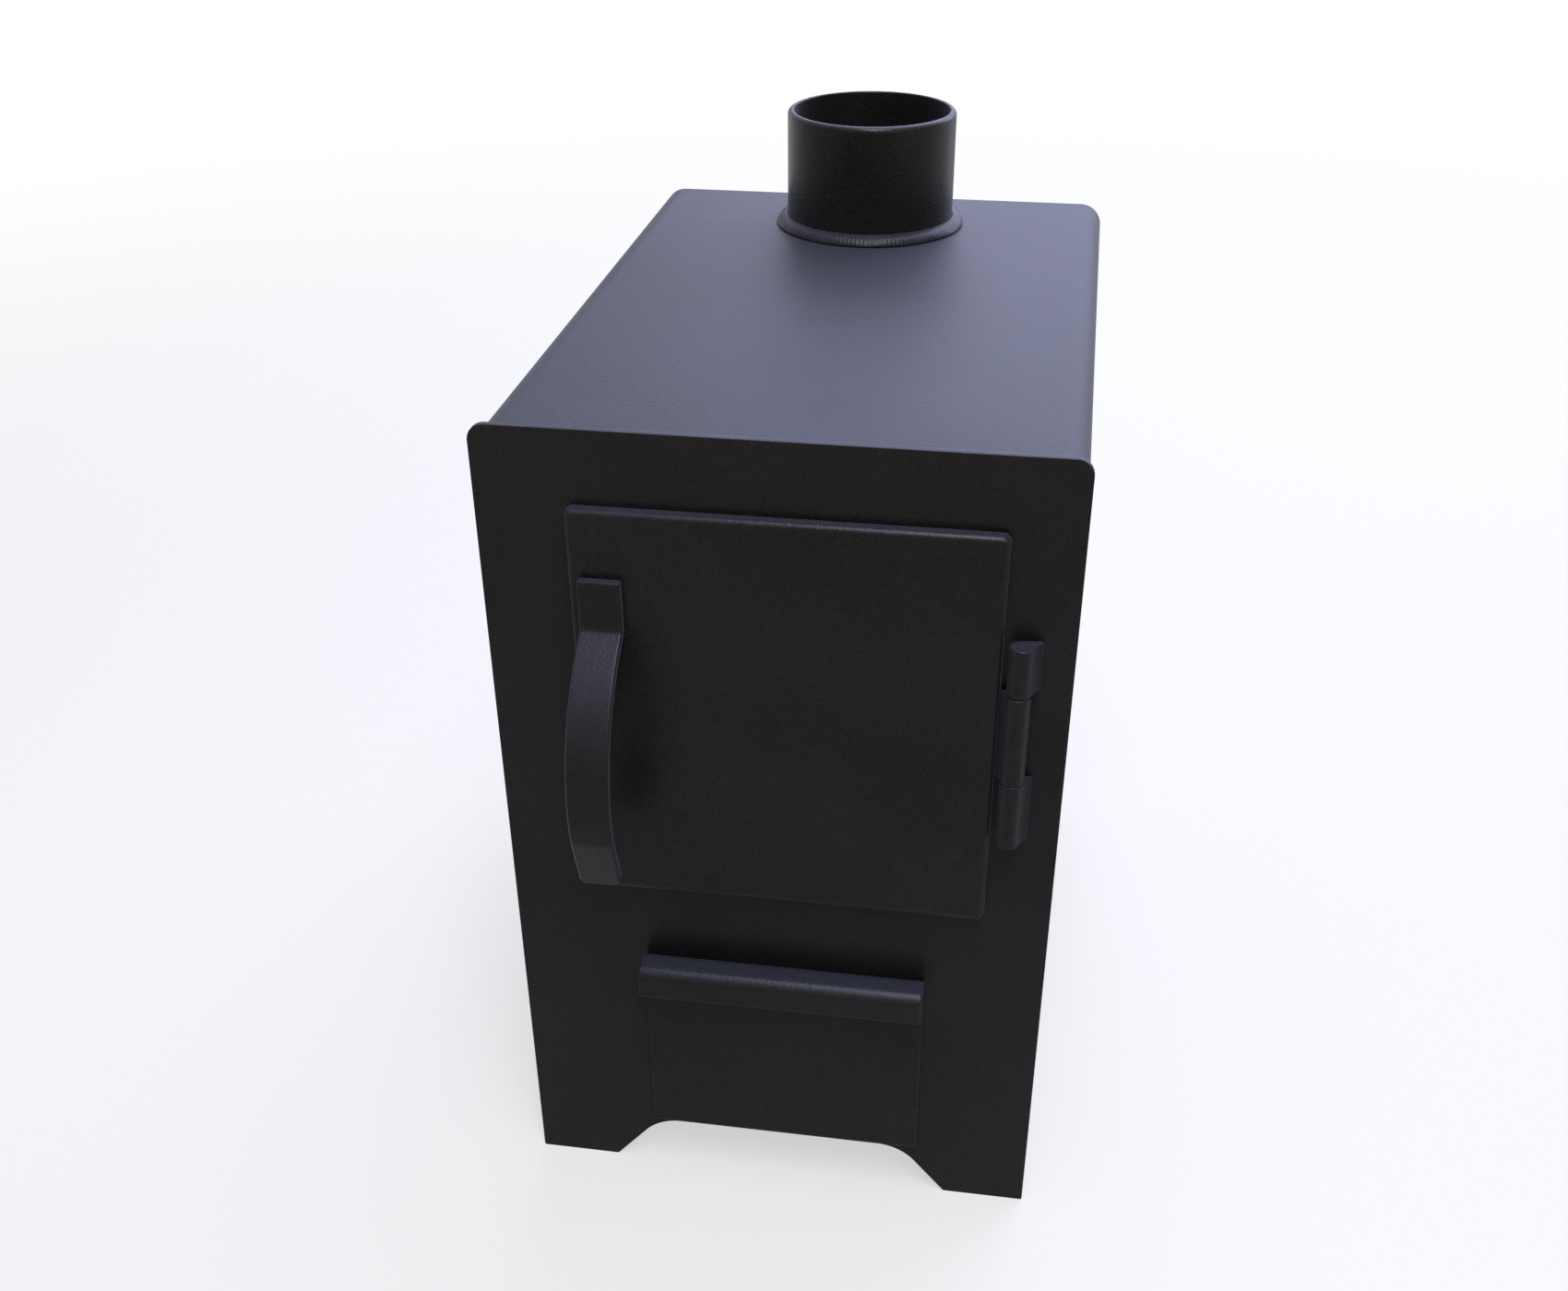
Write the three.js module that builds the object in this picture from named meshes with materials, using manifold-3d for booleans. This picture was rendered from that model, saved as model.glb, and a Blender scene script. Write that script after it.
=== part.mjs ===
// A small box stove of welded sheet steel: one bent sheet makes the top and both sides, flat plates
// close the front and back and reach down as feet, a door and an ash drawer fill the front, and a
// short flue spigot stands on the top.
// Millimetres, +X to the right, +Y to the back, +Z up. The pieces are drawn with the front plate's
// outer face on y = 0 and the feet on z = 0, and the whole stove is centred front to back at the end.
import * as THREE from "three";
import { mergeVertices } from "three/addons/utils/BufferGeometryUtils.js";
import Module from "manifold-3d";

const wasm = await Module();
wasm.setup();

// ---------------------------------------------------------------- driving dimensions

const stove = {
  width: 306,
  height: 490, // to the top of the front plate
  depth: 450, // from the front plate's outer face to the back
  plateLip: 1.8, // how far the front plate stands proud of the bent sheet
};

const sheet = {
  frontThickness: 4,
  shellThickness: 3,
  backThickness: 4,
  floorThickness: 3,
  hearthThickness: 4,
  baffleThickness: 4,
  shellBendRadius: 14, // outside of the bend
  plateCornerRadius: 9, // top corners of the front plate
};

const feet = {
  width: 49, // of one foot along the floor
  slopeRun: 20, // the straight slope beside a foot
  slopeRise: 24,
  archHeight: 34, // underside of the stove
  archRun: 44, // from a foot's inner corner to where the arch is level
};

const decks = {
  floorAboveArch: 6, // top of the floor plate
  hearthAboveDrawer: 33, // top of the hearth plate, above the drawer front
  baffleBelowTop: 41, // top of the baffle, below the front plate's top
};

const door = {
  fromLeft: 48.2, // from the front plate's sides to the door
  fromRight: 36.4,
  aboveDrawer: 49,
  belowTop: 39,
  depth: 8, // how far its face stands off the front plate
  thickness: 3,
  cornerRadius: 3,
  pocketCornerRadius: 1,
  overlap: 10, // past the opening on each side
  openingCornerRadius: 4,
};

const liner = {
  thickness: 2,
  intoOpening: 3, // how far it reaches past the front plate's outer face
  sideClearance: 4, // to the opening
  cornerRadius: 4,
  studInset: 24,
  studRadius: 3,
  studPastNut: 2,
  nutAcrossFlats: 10,
  nutHeight: 5,
};

const handle = {
  fromDoorEdge: 17.2, // from the door's free edge to the strap's middle
  width: 22.5,
  thickness: 5.5,
  // Corners of the strap's middle line, from its upper end down: how far off the door and how far
  // below the door's top edge each one is, and the radius of the bend there.
  corners: [
    { out: 0, down: 36 },
    { out: 0, down: 65, bend: 7 },
    { out: 55, down: 102, bend: 90 },
    { out: 46, down: 165, bend: 10 },
    { out: 34, down: 199 },
  ],
};

const hinge = {
  gapToDoor: 3.1, // between the door's edge and the knuckles
  radius: 6.3,
  pinRadius: 3,
  belowDoorMiddle: 1.8, // its own middle
  lowerLength: 39.4,
  middleLength: 51.6,
  upperLength: 27.5,
  endWall: 4, // closed end over the pin
  plateTailRun: 9, // from the axis to the middle of a fixed knuckle's tip
  tipRadius: 1.5,
};

const drawer = {
  fromLeft: 75.5, // from the front plate's sides to the drawer front
  fromRight: 67.5,
  aboveArch: 3.5,
  height: 133.5,
  frontThickness: 3,
  sideOverlap: 7,
  topOverlap: 6,
  lipOut: 21, // from the front plate to the lip's outer face
  lipDown: 19,
  lipBendRadius: 5, // outside of the bend
  panThickness: 2,
  panBendRadius: 4, // outside of the bend
  panBackClearance: 46, // to the back plate
  panSideClearance: 4, // to the opening
  panTopClearance: 10,
  openingBelowPan: 1,
};

const ledge = { leg: 20, thickness: 3, endGap: 5 };

const guide = { leg: 20, thickness: 3, sideClearance: 1.5, endGap: 5 };

const grate = {
  width: 194,
  length: 294,
  depth: 14, // below the hearth plate's top
  flange: 9,
  flangeThickness: 4,
  holeClearance: 3, // to the hole in the hearth plate
  slotWidth: 10,
  slotCorner: 4,
  barWidth: 10,
  slotsAcross: 9,
  endBar: 12,
  middleBar: 14,
};

const baffle = { length: 300, sideGap: 2 };

const flue = {
  outerRadius: 54,
  wall: 4,
  aboveTop: 71,
  belowTop: 8,
  clearOfBack: 5, // from the spigot to the back plate
  rimChamfer: 0.6,
  weldWidth: 7,
  weldHeight: 6,
  weldFlatness: 0.12,
};

const seam = 0.3; // gap left where two pieces meet
const doorGap = 0.6; // between the door tray's edge and the front plate

const past = 1; // how far a cutting shape runs past the face it cuts
const roundSteps = 64; // sides of the large circles
const smallSteps = 24; // sides of the small ones

// ---------------------------------------------------------------- sizes that follow

const shellHalfWidth = stove.width / 2 - stove.plateLip;
const shellTop = stove.height - stove.plateLip;
const innerHalfWidth = shellHalfWidth - sheet.shellThickness;
const innerTop = shellTop - sheet.shellThickness;
const fitHalfWidth = innerHalfWidth - seam; // what fits between the two sides
const innerFront = sheet.frontThickness + seam;
const backPlateFront = stove.depth - sheet.backThickness;
const innerBack = backPlateFront - seam;

const drawerLeft = -stove.width / 2 + drawer.fromLeft;
const drawerRight = stove.width / 2 - drawer.fromRight;
const drawerBottom = feet.archHeight + drawer.aboveArch;
const drawerTop = drawerBottom + drawer.height;

const doorLeft = -stove.width / 2 + door.fromLeft;
const doorRight = stove.width / 2 - door.fromRight;
const doorBottom = drawerTop + door.aboveDrawer;
const doorTop = stove.height - door.belowTop;
const doorX = (doorLeft + doorRight) / 2; // the door's middle
const doorZ = (doorBottom + doorTop) / 2;
const doorWidth = doorRight - doorLeft;
const doorHeight = doorTop - doorBottom;
const trayFloorY = -door.depth + door.thickness; // the inside of the door's face
const openingWidth = doorWidth - 2 * door.overlap;
const openingHeight = doorHeight - 2 * door.overlap;
const linerWidth = openingWidth - 2 * liner.sideClearance;
const linerHeight = openingHeight - 2 * liner.sideClearance;

const hingeX = doorRight + hinge.gapToDoor + hinge.radius;
const hingeY = -door.depth;
const boreRadius = hinge.pinRadius + seam;
const liftedGap = 2 * seam; // over the middle knuckle, which rests on the lower one
const hingeLength = hinge.lowerLength + hinge.middleLength + hinge.upperLength + seam + liftedGap;
const lowerZ = doorZ - hinge.belowDoorMiddle - hingeLength / 2; // foot of each knuckle
const middleZ = lowerZ + hinge.lowerLength + seam;
const upperZ = middleZ + hinge.middleLength + liftedGap;
const hingeTop = upperZ + hinge.upperLength;

const floorTop = feet.archHeight + decks.floorAboveArch;
const hearthTop = drawerTop + decks.hearthAboveDrawer;
const baffleTop = stove.height - decks.baffleBelowTop;
const hearthBottom = hearthTop - sheet.hearthThickness;
const baffleBottom = baffleTop - sheet.baffleThickness;
const guideTop = floorTop + seam + guide.thickness;
const panBottom = guideTop + seam;
const drawerOpening = {
  left: drawerLeft + drawer.sideOverlap,
  right: drawerRight - drawer.sideOverlap,
  bottom: panBottom - drawer.openingBelowPan,
  top: drawerTop - drawer.topOverlap,
};
const panLeft = drawerOpening.left + drawer.panSideClearance;
const panRight = drawerOpening.right - drawer.panSideClearance;
const panTop = drawerOpening.top - drawer.panTopClearance;
const panBack = backPlateFront - drawer.panBackClearance;

const flueY = backPlateFront - flue.clearOfBack - flue.outerRadius;
const grateCentreY = (innerFront + innerBack) / 2;

// ---------------------------------------------------------------- shapes and solids

const axisX = new THREE.Vector3(1, 0, 0);
const axisY = new THREE.Vector3(0, 1, 0);
const axisZ = new THREE.Vector3(0, 0, 1);

// The shape's own right, up and depth directions become the three given ones.
function extrude(shape, depth, right, up, away, curveSegments = 8) {
  const geometry = new THREE.ExtrudeGeometry(shape, { depth, bevelEnabled: false, curveSegments });
  return geometry.applyMatrix4(new THREE.Matrix4().makeBasis(right, up, away));
}

// A shape drawn as (x, z), from y = front backwards.
function wallAt(shape, front, thickness) {
  const geometry = extrude(shape, thickness, axisX, axisZ, axisY.clone().negate());
  return geometry.translate(0, front + thickness, 0);
}

// A shape drawn as (y, z), from x = left to the right.
function profileAt(shape, left, length) {
  return extrude(shape, length, axisY, axisZ, axisX).translate(left, 0, 0);
}

// A shape drawn as (x, y), from z = bottom up.
function slabAt(shape, bottom, thickness, curveSegments) {
  return extrude(shape, thickness, axisX, axisY, axisZ, curveSegments).translate(0, 0, bottom);
}

function block(x0, x1, y0, y1, z0, z1) {
  const geometry = new THREE.BoxGeometry(x1 - x0, y1 - y0, z1 - z0);
  return geometry.translate((x0 + x1) / 2, (y0 + y1) / 2, (z0 + z1) / 2);
}

// A round bar along Z (or along Y) that starts at the given point.
function rodUp(radius, x, y, z0, z1, steps) {
  const geometry = new THREE.CylinderGeometry(radius, radius, z1 - z0, steps).rotateX(Math.PI / 2);
  return geometry.translate(x, y, (z0 + z1) / 2);
}

function rodBack(radius, x, z, y0, y1, steps) {
  const geometry = new THREE.CylinderGeometry(radius, radius, y1 - y0, steps);
  return geometry.translate(x, (y0 + y1) / 2, z);
}

// A profile of (radius, z) points turned round a vertical axis.
function turned(profile, x, y) {
  const geometry = new THREE.LatheGeometry(profile, roundSteps).rotateX(Math.PI / 2);
  return geometry.translate(x, y, 0);
}

function solidOf(geometry) {
  const bare = geometry.index ? geometry.toNonIndexed() : geometry.clone();
  bare.deleteAttribute("normal");
  bare.deleteAttribute("uv");
  const merged = mergeVertices(bare, 1e-4);
  return new wasm.Manifold(
    new wasm.Mesh({
      numProp: 3,
      vertProperties: new Float32Array(merged.attributes.position.array),
      triVerts: new Uint32Array(merged.index.array),
    }),
  );
}

function geometryOf(solid) {
  const mesh = solid.getMesh();
  const geometry = new THREE.BufferGeometry();
  geometry.setAttribute("position", new THREE.BufferAttribute(mesh.vertProperties, mesh.numProp));
  geometry.setIndex(new THREE.BufferAttribute(mesh.triVerts, 1));
  geometry.computeVertexNormals();
  return geometry;
}

function cut(base, ...tools) {
  return geometryOf(tools.reduce((rest, tool) => rest.subtract(solidOf(tool)), solidOf(base)));
}

function join(first, ...others) {
  return geometryOf(others.reduce((all, other) => all.add(solidOf(other)), solidOf(first)));
}

function roundedRectangle(width, height, radius, centreX = 0, centreY = 0) {
  const x0 = centreX - width / 2;
  const x1 = centreX + width / 2;
  const y0 = centreY - height / 2;
  const y1 = centreY + height / 2;
  const quarter = Math.PI / 2;
  const shape = new THREE.Shape();
  shape.moveTo(x0 + radius, y0);
  shape.absarc(x1 - radius, y0 + radius, radius, -quarter, 0);
  shape.absarc(x1 - radius, y1 - radius, radius, 0, quarter);
  shape.absarc(x0 + radius, y1 - radius, radius, quarter, 2 * quarter);
  shape.absarc(x0 + radius, y0 + radius, radius, 2 * quarter, 3 * quarter);
  return shape;
}

const bendStep = 0.14; // radians turned by one facet of a bend

// Section of a strip bent along a line of corners [{x, y, bend}]: every inner corner is rounded to
// its bend radius, and the line is then moved half the thickness to each side.
function bentStrip(corners, thickness) {
  const points = corners.map((c) => new THREE.Vector2(c.x, c.y));
  const line = [];
  const add = (point, direction) => {
    line.push({ point, normal: new THREE.Vector2(-direction.y, direction.x) });
  };
  const along = (a, b) => b.clone().sub(a).normalize();
  add(points[0], along(points[0], points[1]));
  for (let i = 1; i < points.length - 1; i++) {
    const before = along(points[i - 1], points[i]);
    const after = along(points[i], points[i + 1]);
    const turn = Math.atan2(before.cross(after), before.dot(after));
    const radius = corners[i].bend;
    const start = points[i].clone().addScaledVector(before, -radius * Math.tan(Math.abs(turn) / 2));
    const side = Math.sign(turn);
    const centre = start.clone().add(new THREE.Vector2(-before.y, before.x).multiplyScalar(side * radius));
    const steps = Math.max(3, Math.ceil(Math.abs(turn) / bendStep));
    for (let k = 0; k <= steps; k++) {
      const angle = (turn * k) / steps;
      const direction = before.clone().rotateAround(new THREE.Vector2(), angle);
      const spoke = new THREE.Vector2(direction.y, -direction.x).multiplyScalar(side * radius);
      add(centre.clone().add(spoke), direction);
    }
  }
  const last = points.length - 1;
  add(points[last], along(points[last - 1], points[last]));
  const offset = (half) => line.map(({ point, normal }) => point.clone().addScaledVector(normal, half));
  return new THREE.Shape([...offset(-thickness / 2), ...offset(thickness / 2).reverse()]);
}

// Two circles and the straight lines that touch both: the section of a drop-shaped knuckle.
function dropShape(x, y, radius, tipX, tipY, tipRadius) {
  const toTip = Math.atan2(tipY - y, tipX - x);
  const touch = Math.acos((radius - tipRadius) / Math.hypot(tipX - x, tipY - y));
  const shape = new THREE.Shape();
  shape.absarc(x, y, radius, toTip + touch, toTip - touch + 2 * Math.PI);
  shape.absarc(tipX, tipY, tipRadius, toTip - touch, toTip + touch);
  return shape;
}

// An L-shaped bar: one corner at (x, z), its legs along the signs given.
function angleShape(x, z, leg, thickness, signX, signZ) {
  const shape = new THREE.Shape();
  shape.moveTo(x, z);
  shape.lineTo(x + signX * leg, z);
  shape.lineTo(x + signX * leg, z + signZ * thickness);
  shape.lineTo(x + signX * thickness, z + signZ * thickness);
  shape.lineTo(x + signX * thickness, z + signZ * leg);
  shape.lineTo(x, z + signZ * leg);
  return shape;
}

// ---------------------------------------------------------------- the box

// An upright plate with rounded top corners and two feet left by an arch.
function footedPlate(halfWidth, top, cornerRadius) {
  const footInner = stove.width / 2 - feet.width;
  const slopeTop = footInner - feet.slopeRun;
  const level = footInner - feet.archRun;
  // The curve leaves the slope in its own direction and lands level.
  const controlX = slopeTop - ((feet.archHeight - feet.slopeRise) * feet.slopeRun) / feet.slopeRise;
  const shape = new THREE.Shape();
  shape.moveTo(-halfWidth, 0);
  shape.lineTo(-footInner, 0);
  shape.lineTo(-slopeTop, feet.slopeRise);
  shape.quadraticCurveTo(-controlX, feet.archHeight, -level, feet.archHeight);
  shape.lineTo(level, feet.archHeight);
  shape.quadraticCurveTo(controlX, feet.archHeight, slopeTop, feet.slopeRise);
  shape.lineTo(footInner, 0);
  shape.lineTo(halfWidth, 0);
  shape.absarc(halfWidth - cornerRadius, top - cornerRadius, cornerRadius, 0, Math.PI / 2);
  shape.absarc(cornerRadius - halfWidth, top - cornerRadius, cornerRadius, Math.PI / 2, Math.PI);
  return shape;
}

function frontPlate() {
  const shape = footedPlate(stove.width / 2, stove.height, sheet.plateCornerRadius);
  shape.holes.push(
    roundedRectangle(openingWidth, openingHeight, door.openingCornerRadius, doorX, doorZ),
  );
  const slot = drawerOpening;
  const hole = new THREE.Path();
  hole.moveTo(slot.left, slot.bottom);
  hole.lineTo(slot.right, slot.bottom);
  hole.lineTo(slot.right, slot.top);
  hole.lineTo(slot.left, slot.top);
  hole.closePath();
  shape.holes.push(hole);
  return wallAt(shape, 0, sheet.frontThickness);
}

function bodyShell() {
  const half = sheet.shellThickness / 2;
  const x = shellHalfWidth - half;
  const top = shellTop - half;
  const bend = sheet.shellBendRadius - half;
  const section = bentStrip(
    [
      { x: -x, y: feet.archHeight },
      { x: -x, y: top, bend },
      { x, y: top, bend },
      { x, y: feet.archHeight },
    ],
    sheet.shellThickness,
  );
  const shell = wallAt(section, innerFront, stove.depth - innerFront);
  const holeRadius = flue.outerRadius + seam;
  const hole = rodUp(holeRadius, 0, flueY, innerTop - past, shellTop + past, roundSteps);
  return cut(shell, hole);
}

function backPlate() {
  const radius = sheet.shellBendRadius - sheet.shellThickness - seam;
  return wallAt(footedPlate(fitHalfWidth, innerTop - seam, radius), backPlateFront, sheet.backThickness);
}

function floorPlate() {
  const bottom = floorTop - sheet.floorThickness;
  return block(-fitHalfWidth, fitHalfWidth, innerFront, innerBack, bottom, floorTop);
}

// ---------------------------------------------------------------- inside the box

function hearthPlate() {
  const halfHole = grate.width / 2 + grate.holeClearance;
  const halfLength = grate.length / 2 + grate.holeClearance;
  return cut(
    block(-fitHalfWidth, fitHalfWidth, innerFront, innerBack, hearthBottom, hearthTop),
    block(
      -halfHole,
      halfHole,
      grateCentreY - halfLength,
      grateCentreY + halfLength,
      hearthBottom - past,
      hearthTop + past,
    ),
  );
}

// A welded angle on one side wall (side is -1 or 1) whose upper face carries a plate.
function wallLedge(side, plateBottom, front, back) {
  const corner = side * fitHalfWidth;
  const section = angleShape(corner, plateBottom - seam, ledge.leg, ledge.thickness, -side, -1);
  return wallAt(section, front, back - front);
}

function fireGrate() {
  const bottom = hearthTop - grate.depth;
  const under = hearthTop + seam;
  const halfWidth = grate.width / 2;
  const halfLength = grate.length / 2;
  const casting = join(
    block(-halfWidth, halfWidth, -halfLength, halfLength, bottom, under + grate.flangeThickness),
    block(
      -halfWidth - grate.flange,
      halfWidth + grate.flange,
      -halfLength - grate.flange,
      halfLength + grate.flange,
      under,
      under + grate.flangeThickness,
    ),
  );
  const slotLength = halfLength - grate.endBar - grate.middleBar / 2;
  const slotY = (grate.middleBar + slotLength) / 2;
  const pitch = grate.slotWidth + grate.barWidth;
  const slotDepth = under + grate.flangeThickness - bottom + 2 * past;
  const slots = [];
  for (let i = 0; i < grate.slotsAcross; i++) {
    const x = (i - (grate.slotsAcross - 1) / 2) * pitch;
    for (const y of [-slotY, slotY]) {
      const shape = roundedRectangle(grate.slotWidth, slotLength, grate.slotCorner, x, y);
      slots.push(slabAt(shape, bottom - past, slotDepth, 2));
    }
  }
  return cut(casting, ...slots).translate(0, grateCentreY, 0);
}

function bafflePlate() {
  const half = fitHalfWidth - baffle.sideGap;
  return block(-half, half, innerBack - baffle.length, innerBack, baffleBottom, baffleTop);
}

// ---------------------------------------------------------------- the flue spigot

function flueSpigot() {
  const inner = flue.outerRadius - flue.wall;
  const bottom = innerTop - flue.belowTop;
  const top = shellTop + flue.aboveTop;
  const c = flue.rimChamfer;
  const profile = [
    [inner, bottom],
    [flue.outerRadius, bottom],
    [flue.outerRadius, top - c],
    [flue.outerRadius - c, top],
    [inner + c, top],
    [inner, top - c],
    [inner, bottom],
  ];
  return turned(profile.map(([r, z]) => new THREE.Vector2(r, z)), 0, flueY);
}

// A fillet between the top sheet and the spigot, a little flatter than a quarter round.
function flueWeldBead() {
  const inner = flue.outerRadius + seam;
  const bottom = shellTop + seam;
  const steps = 5;
  const profile = [new THREE.Vector2(inner, bottom)];
  for (let i = 0; i < steps; i++) {
    const angle = ((Math.PI / 2) * i) / steps;
    const size = 1 - flue.weldFlatness * Math.sin(2 * angle);
    const r = inner + flue.weldWidth * Math.cos(angle) * size;
    profile.push(new THREE.Vector2(r, bottom + flue.weldHeight * Math.sin(angle) * size));
  }
  profile.push(new THREE.Vector2(inner, bottom + flue.weldHeight), profile[0].clone());
  return turned(profile, 0, flueY);
}

// ---------------------------------------------------------------- the door

function doorPanel() {
  const outline = roundedRectangle(doorWidth, doorHeight, door.cornerRadius, doorX, doorZ);
  const pocket = roundedRectangle(
    doorWidth - 2 * door.thickness,
    doorHeight - 2 * door.thickness,
    door.pocketCornerRadius,
    doorX,
    doorZ,
  );
  return cut(
    wallAt(outline, -door.depth, door.depth - doorGap),
    wallAt(pocket, trayFloorY, door.depth),
  );
}

const studPlaces = [-1, 1].flatMap((sideX) =>
  [-1, 1].map((sideZ) => ({
    x: doorX + sideX * (linerWidth / 2 - liner.studInset),
    z: doorZ + sideZ * (linerHeight / 2 - liner.studInset),
  })),
);

function doorLiner() {
  const outline = roundedRectangle(linerWidth, linerHeight, liner.cornerRadius, doorX, doorZ);
  const pocket = roundedRectangle(
    linerWidth - 2 * liner.thickness,
    linerHeight - 2 * liner.thickness,
    liner.cornerRadius - liner.thickness,
    doorX,
    doorZ,
  );
  const edge = trayFloorY + seam;
  const pocketDepth = liner.intoOpening - liner.thickness - edge + past;
  const holes = studPlaces.map(({ x, z }) =>
    rodBack(liner.studRadius + seam, x, z, 0, liner.intoOpening + past, smallSteps),
  );
  return cut(
    wallAt(outline, edge, liner.intoOpening - edge),
    wallAt(pocket, edge - past, pocketDepth),
    ...holes,
  );
}

function linerStud({ x, z }) {
  const end = liner.intoOpening + seam + liner.nutHeight + liner.studPastNut;
  return rodBack(liner.studRadius, x, z, trayFloorY + seam, end, smallSteps);
}

function linerNut({ x, z }) {
  const start = liner.intoOpening + seam;
  const corner = liner.nutAcrossFlats / Math.sqrt(3);
  return cut(
    rodBack(corner, x, z, start, start + liner.nutHeight, 6),
    rodBack(liner.studRadius + seam, x, z, start - past, start + liner.nutHeight + past, smallSteps),
  );
}

function doorSeal() {
  const outline = roundedRectangle(
    doorWidth - 2 * (door.thickness + seam),
    doorHeight - 2 * (door.thickness + seam),
    liner.cornerRadius,
    doorX,
    doorZ,
  );
  outline.holes.push(
    roundedRectangle(
      linerWidth + 2 * seam,
      linerHeight + 2 * seam,
      liner.cornerRadius + seam,
      doorX,
      doorZ,
    ),
  );
  return wallAt(outline, trayFloorY + seam, -trayFloorY - 2 * seam);
}

function doorHandle() {
  const footMiddle = -door.depth - seam - handle.thickness / 2;
  const corners = handle.corners.map(({ out, down, bend }) => ({
    x: footMiddle - out,
    y: doorTop - down,
    bend,
  }));
  const left = doorLeft + handle.fromDoorEdge - handle.width / 2;
  return profileAt(bentStrip(corners, handle.thickness), left, handle.width);
}

// ---------------------------------------------------------------- the hinge

function knuckle(section, bottom, length, boreBottom, boreTop) {
  return cut(
    slabAt(section, bottom, length),
    rodUp(boreRadius, hingeX, hingeY, boreBottom, boreTop, smallSteps),
  );
}

function fixedKnuckle(bottom, length, boreBottom, boreTop) {
  const tipY = -hinge.tipRadius - seam;
  const tipX = hingeX + hinge.plateTailRun;
  const section = dropShape(hingeX, hingeY, hinge.radius, tipX, tipY, hinge.tipRadius);
  return knuckle(section, bottom, length, boreBottom, boreTop);
}

function doorKnuckle() {
  const tipX = doorRight + seam + hinge.tipRadius;
  const tipY = -door.depth / 2;
  const section = dropShape(hingeX, hingeY, hinge.radius, tipX, tipY, hinge.tipRadius);
  return knuckle(section, middleZ, hinge.middleLength, middleZ - past, middleZ + hinge.middleLength + past);
}

function hingePin() {
  const bottom = lowerZ + hinge.endWall + seam;
  const top = hingeTop - hinge.endWall - seam;
  return rodUp(hinge.pinRadius, hingeX, hingeY, bottom, top, smallSteps);
}

// ---------------------------------------------------------------- the ash drawer

// The front sheet runs up, folds out over the top and turns down again as the grip.
function ashDrawerFront() {
  const half = drawer.frontThickness / 2;
  const bend = drawer.lipBendRadius - half;
  const back = -seam - half;
  const out = -drawer.lipOut + half;
  const top = drawerTop - half;
  const section = bentStrip(
    [
      { x: back, y: drawerBottom },
      { x: back, y: top, bend },
      { x: out, y: top, bend },
      { x: out, y: drawerTop - drawer.lipDown },
    ],
    drawer.frontThickness,
  );
  return profileAt(section, drawerLeft, drawerRight - drawerLeft);
}

// One sheet folded up into the pan's floor and its two long sides.
function ashPanTrough() {
  const half = drawer.panThickness / 2;
  const bend = drawer.panBendRadius - half;
  const section = bentStrip(
    [
      { x: panLeft + half, y: panTop },
      { x: panLeft + half, y: panBottom + half, bend },
      { x: panRight - half, y: panBottom + half, bend },
      { x: panRight - half, y: panTop },
    ],
    drawer.panThickness,
  );
  return wallAt(section, 0, panBack);
}

// A plate set between the sides, its corners rounded to clear the bends.
function ashPanEnd(front) {
  const rim = drawer.panThickness + seam;
  const width = panRight - panLeft - 2 * rim;
  const height = panTop - panBottom - rim;
  const x = (panLeft + panRight) / 2;
  const outline = roundedRectangle(width, height, drawer.panBendRadius - rim, x, panTop - height / 2);
  return wallAt(outline, front, drawer.panThickness);
}

// An angle under one lower corner of the pan (side is -1 or 1) that carries and guides it.
function drawerGuide(side) {
  const panSide = side < 0 ? panLeft : panRight;
  const corner = panSide + side * (guide.sideClearance + guide.thickness);
  const section = angleShape(corner, floorTop + seam, guide.leg, guide.thickness, -side, 1);
  const front = innerFront + guide.endGap;
  return wallAt(section, front, innerBack - guide.endGap - front);
}

// ---------------------------------------------------------------- materials and assembly

const paint = { color: 0x242327, roughness: 0.45, metalness: 0.2 };
const castIron = { color: 0x2e2c2b, roughness: 0.8, metalness: 0.3 };
const bareSteel = { color: 0x8d8c89, roughness: 0.4, metalness: 0.9 };
const panSteel = { color: 0x9a9b9b, roughness: 0.5, metalness: 0.8 };
const rope = { color: 0xb9b3a6, roughness: 0.95, metalness: 0 };

const pieces = new THREE.Group();

function addPiece(name, geometry, look) {
  const mesh = new THREE.Mesh(geometry, new THREE.MeshStandardMaterial(look));
  mesh.name = name;
  pieces.add(mesh);
}

addPiece("front_plate", frontPlate(), paint);
addPiece("body_shell", bodyShell(), paint);
addPiece("back_plate", backPlate(), paint);
addPiece("floor_plate", floorPlate(), paint);
addPiece("hearth_plate", hearthPlate(), paint);
addPiece("fire_grate", fireGrate(), castIron);
addPiece("baffle_plate", bafflePlate(), paint);

for (const [sideName, side] of Object.entries({ left: -1, right: 1 })) {
  const ledgeBack = innerBack - ledge.endGap;
  const hearthLedge = wallLedge(side, hearthBottom, innerFront + ledge.endGap, ledgeBack);
  addPiece(`hearth_ledge_${sideName}`, hearthLedge, paint);
  const baffleLedge = wallLedge(side, baffleBottom, innerBack - baffle.length, ledgeBack);
  addPiece(`baffle_ledge_${sideName}`, baffleLedge, paint);
  addPiece(`drawer_guide_${sideName}`, drawerGuide(side), paint);
}

addPiece("flue_spigot", flueSpigot(), paint);
addPiece("flue_weld_bead", flueWeldBead(), paint);

addPiece("door_panel", doorPanel(), paint);
addPiece("door_liner", doorLiner(), paint);
addPiece("door_seal", doorSeal(), rope);
addPiece("door_handle", doorHandle(), paint);
studPlaces.forEach((place, i) => {
  addPiece(`liner_stud_${i + 1}`, linerStud(place), bareSteel);
  addPiece(`liner_nut_${i + 1}`, linerNut(place), bareSteel);
});

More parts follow.
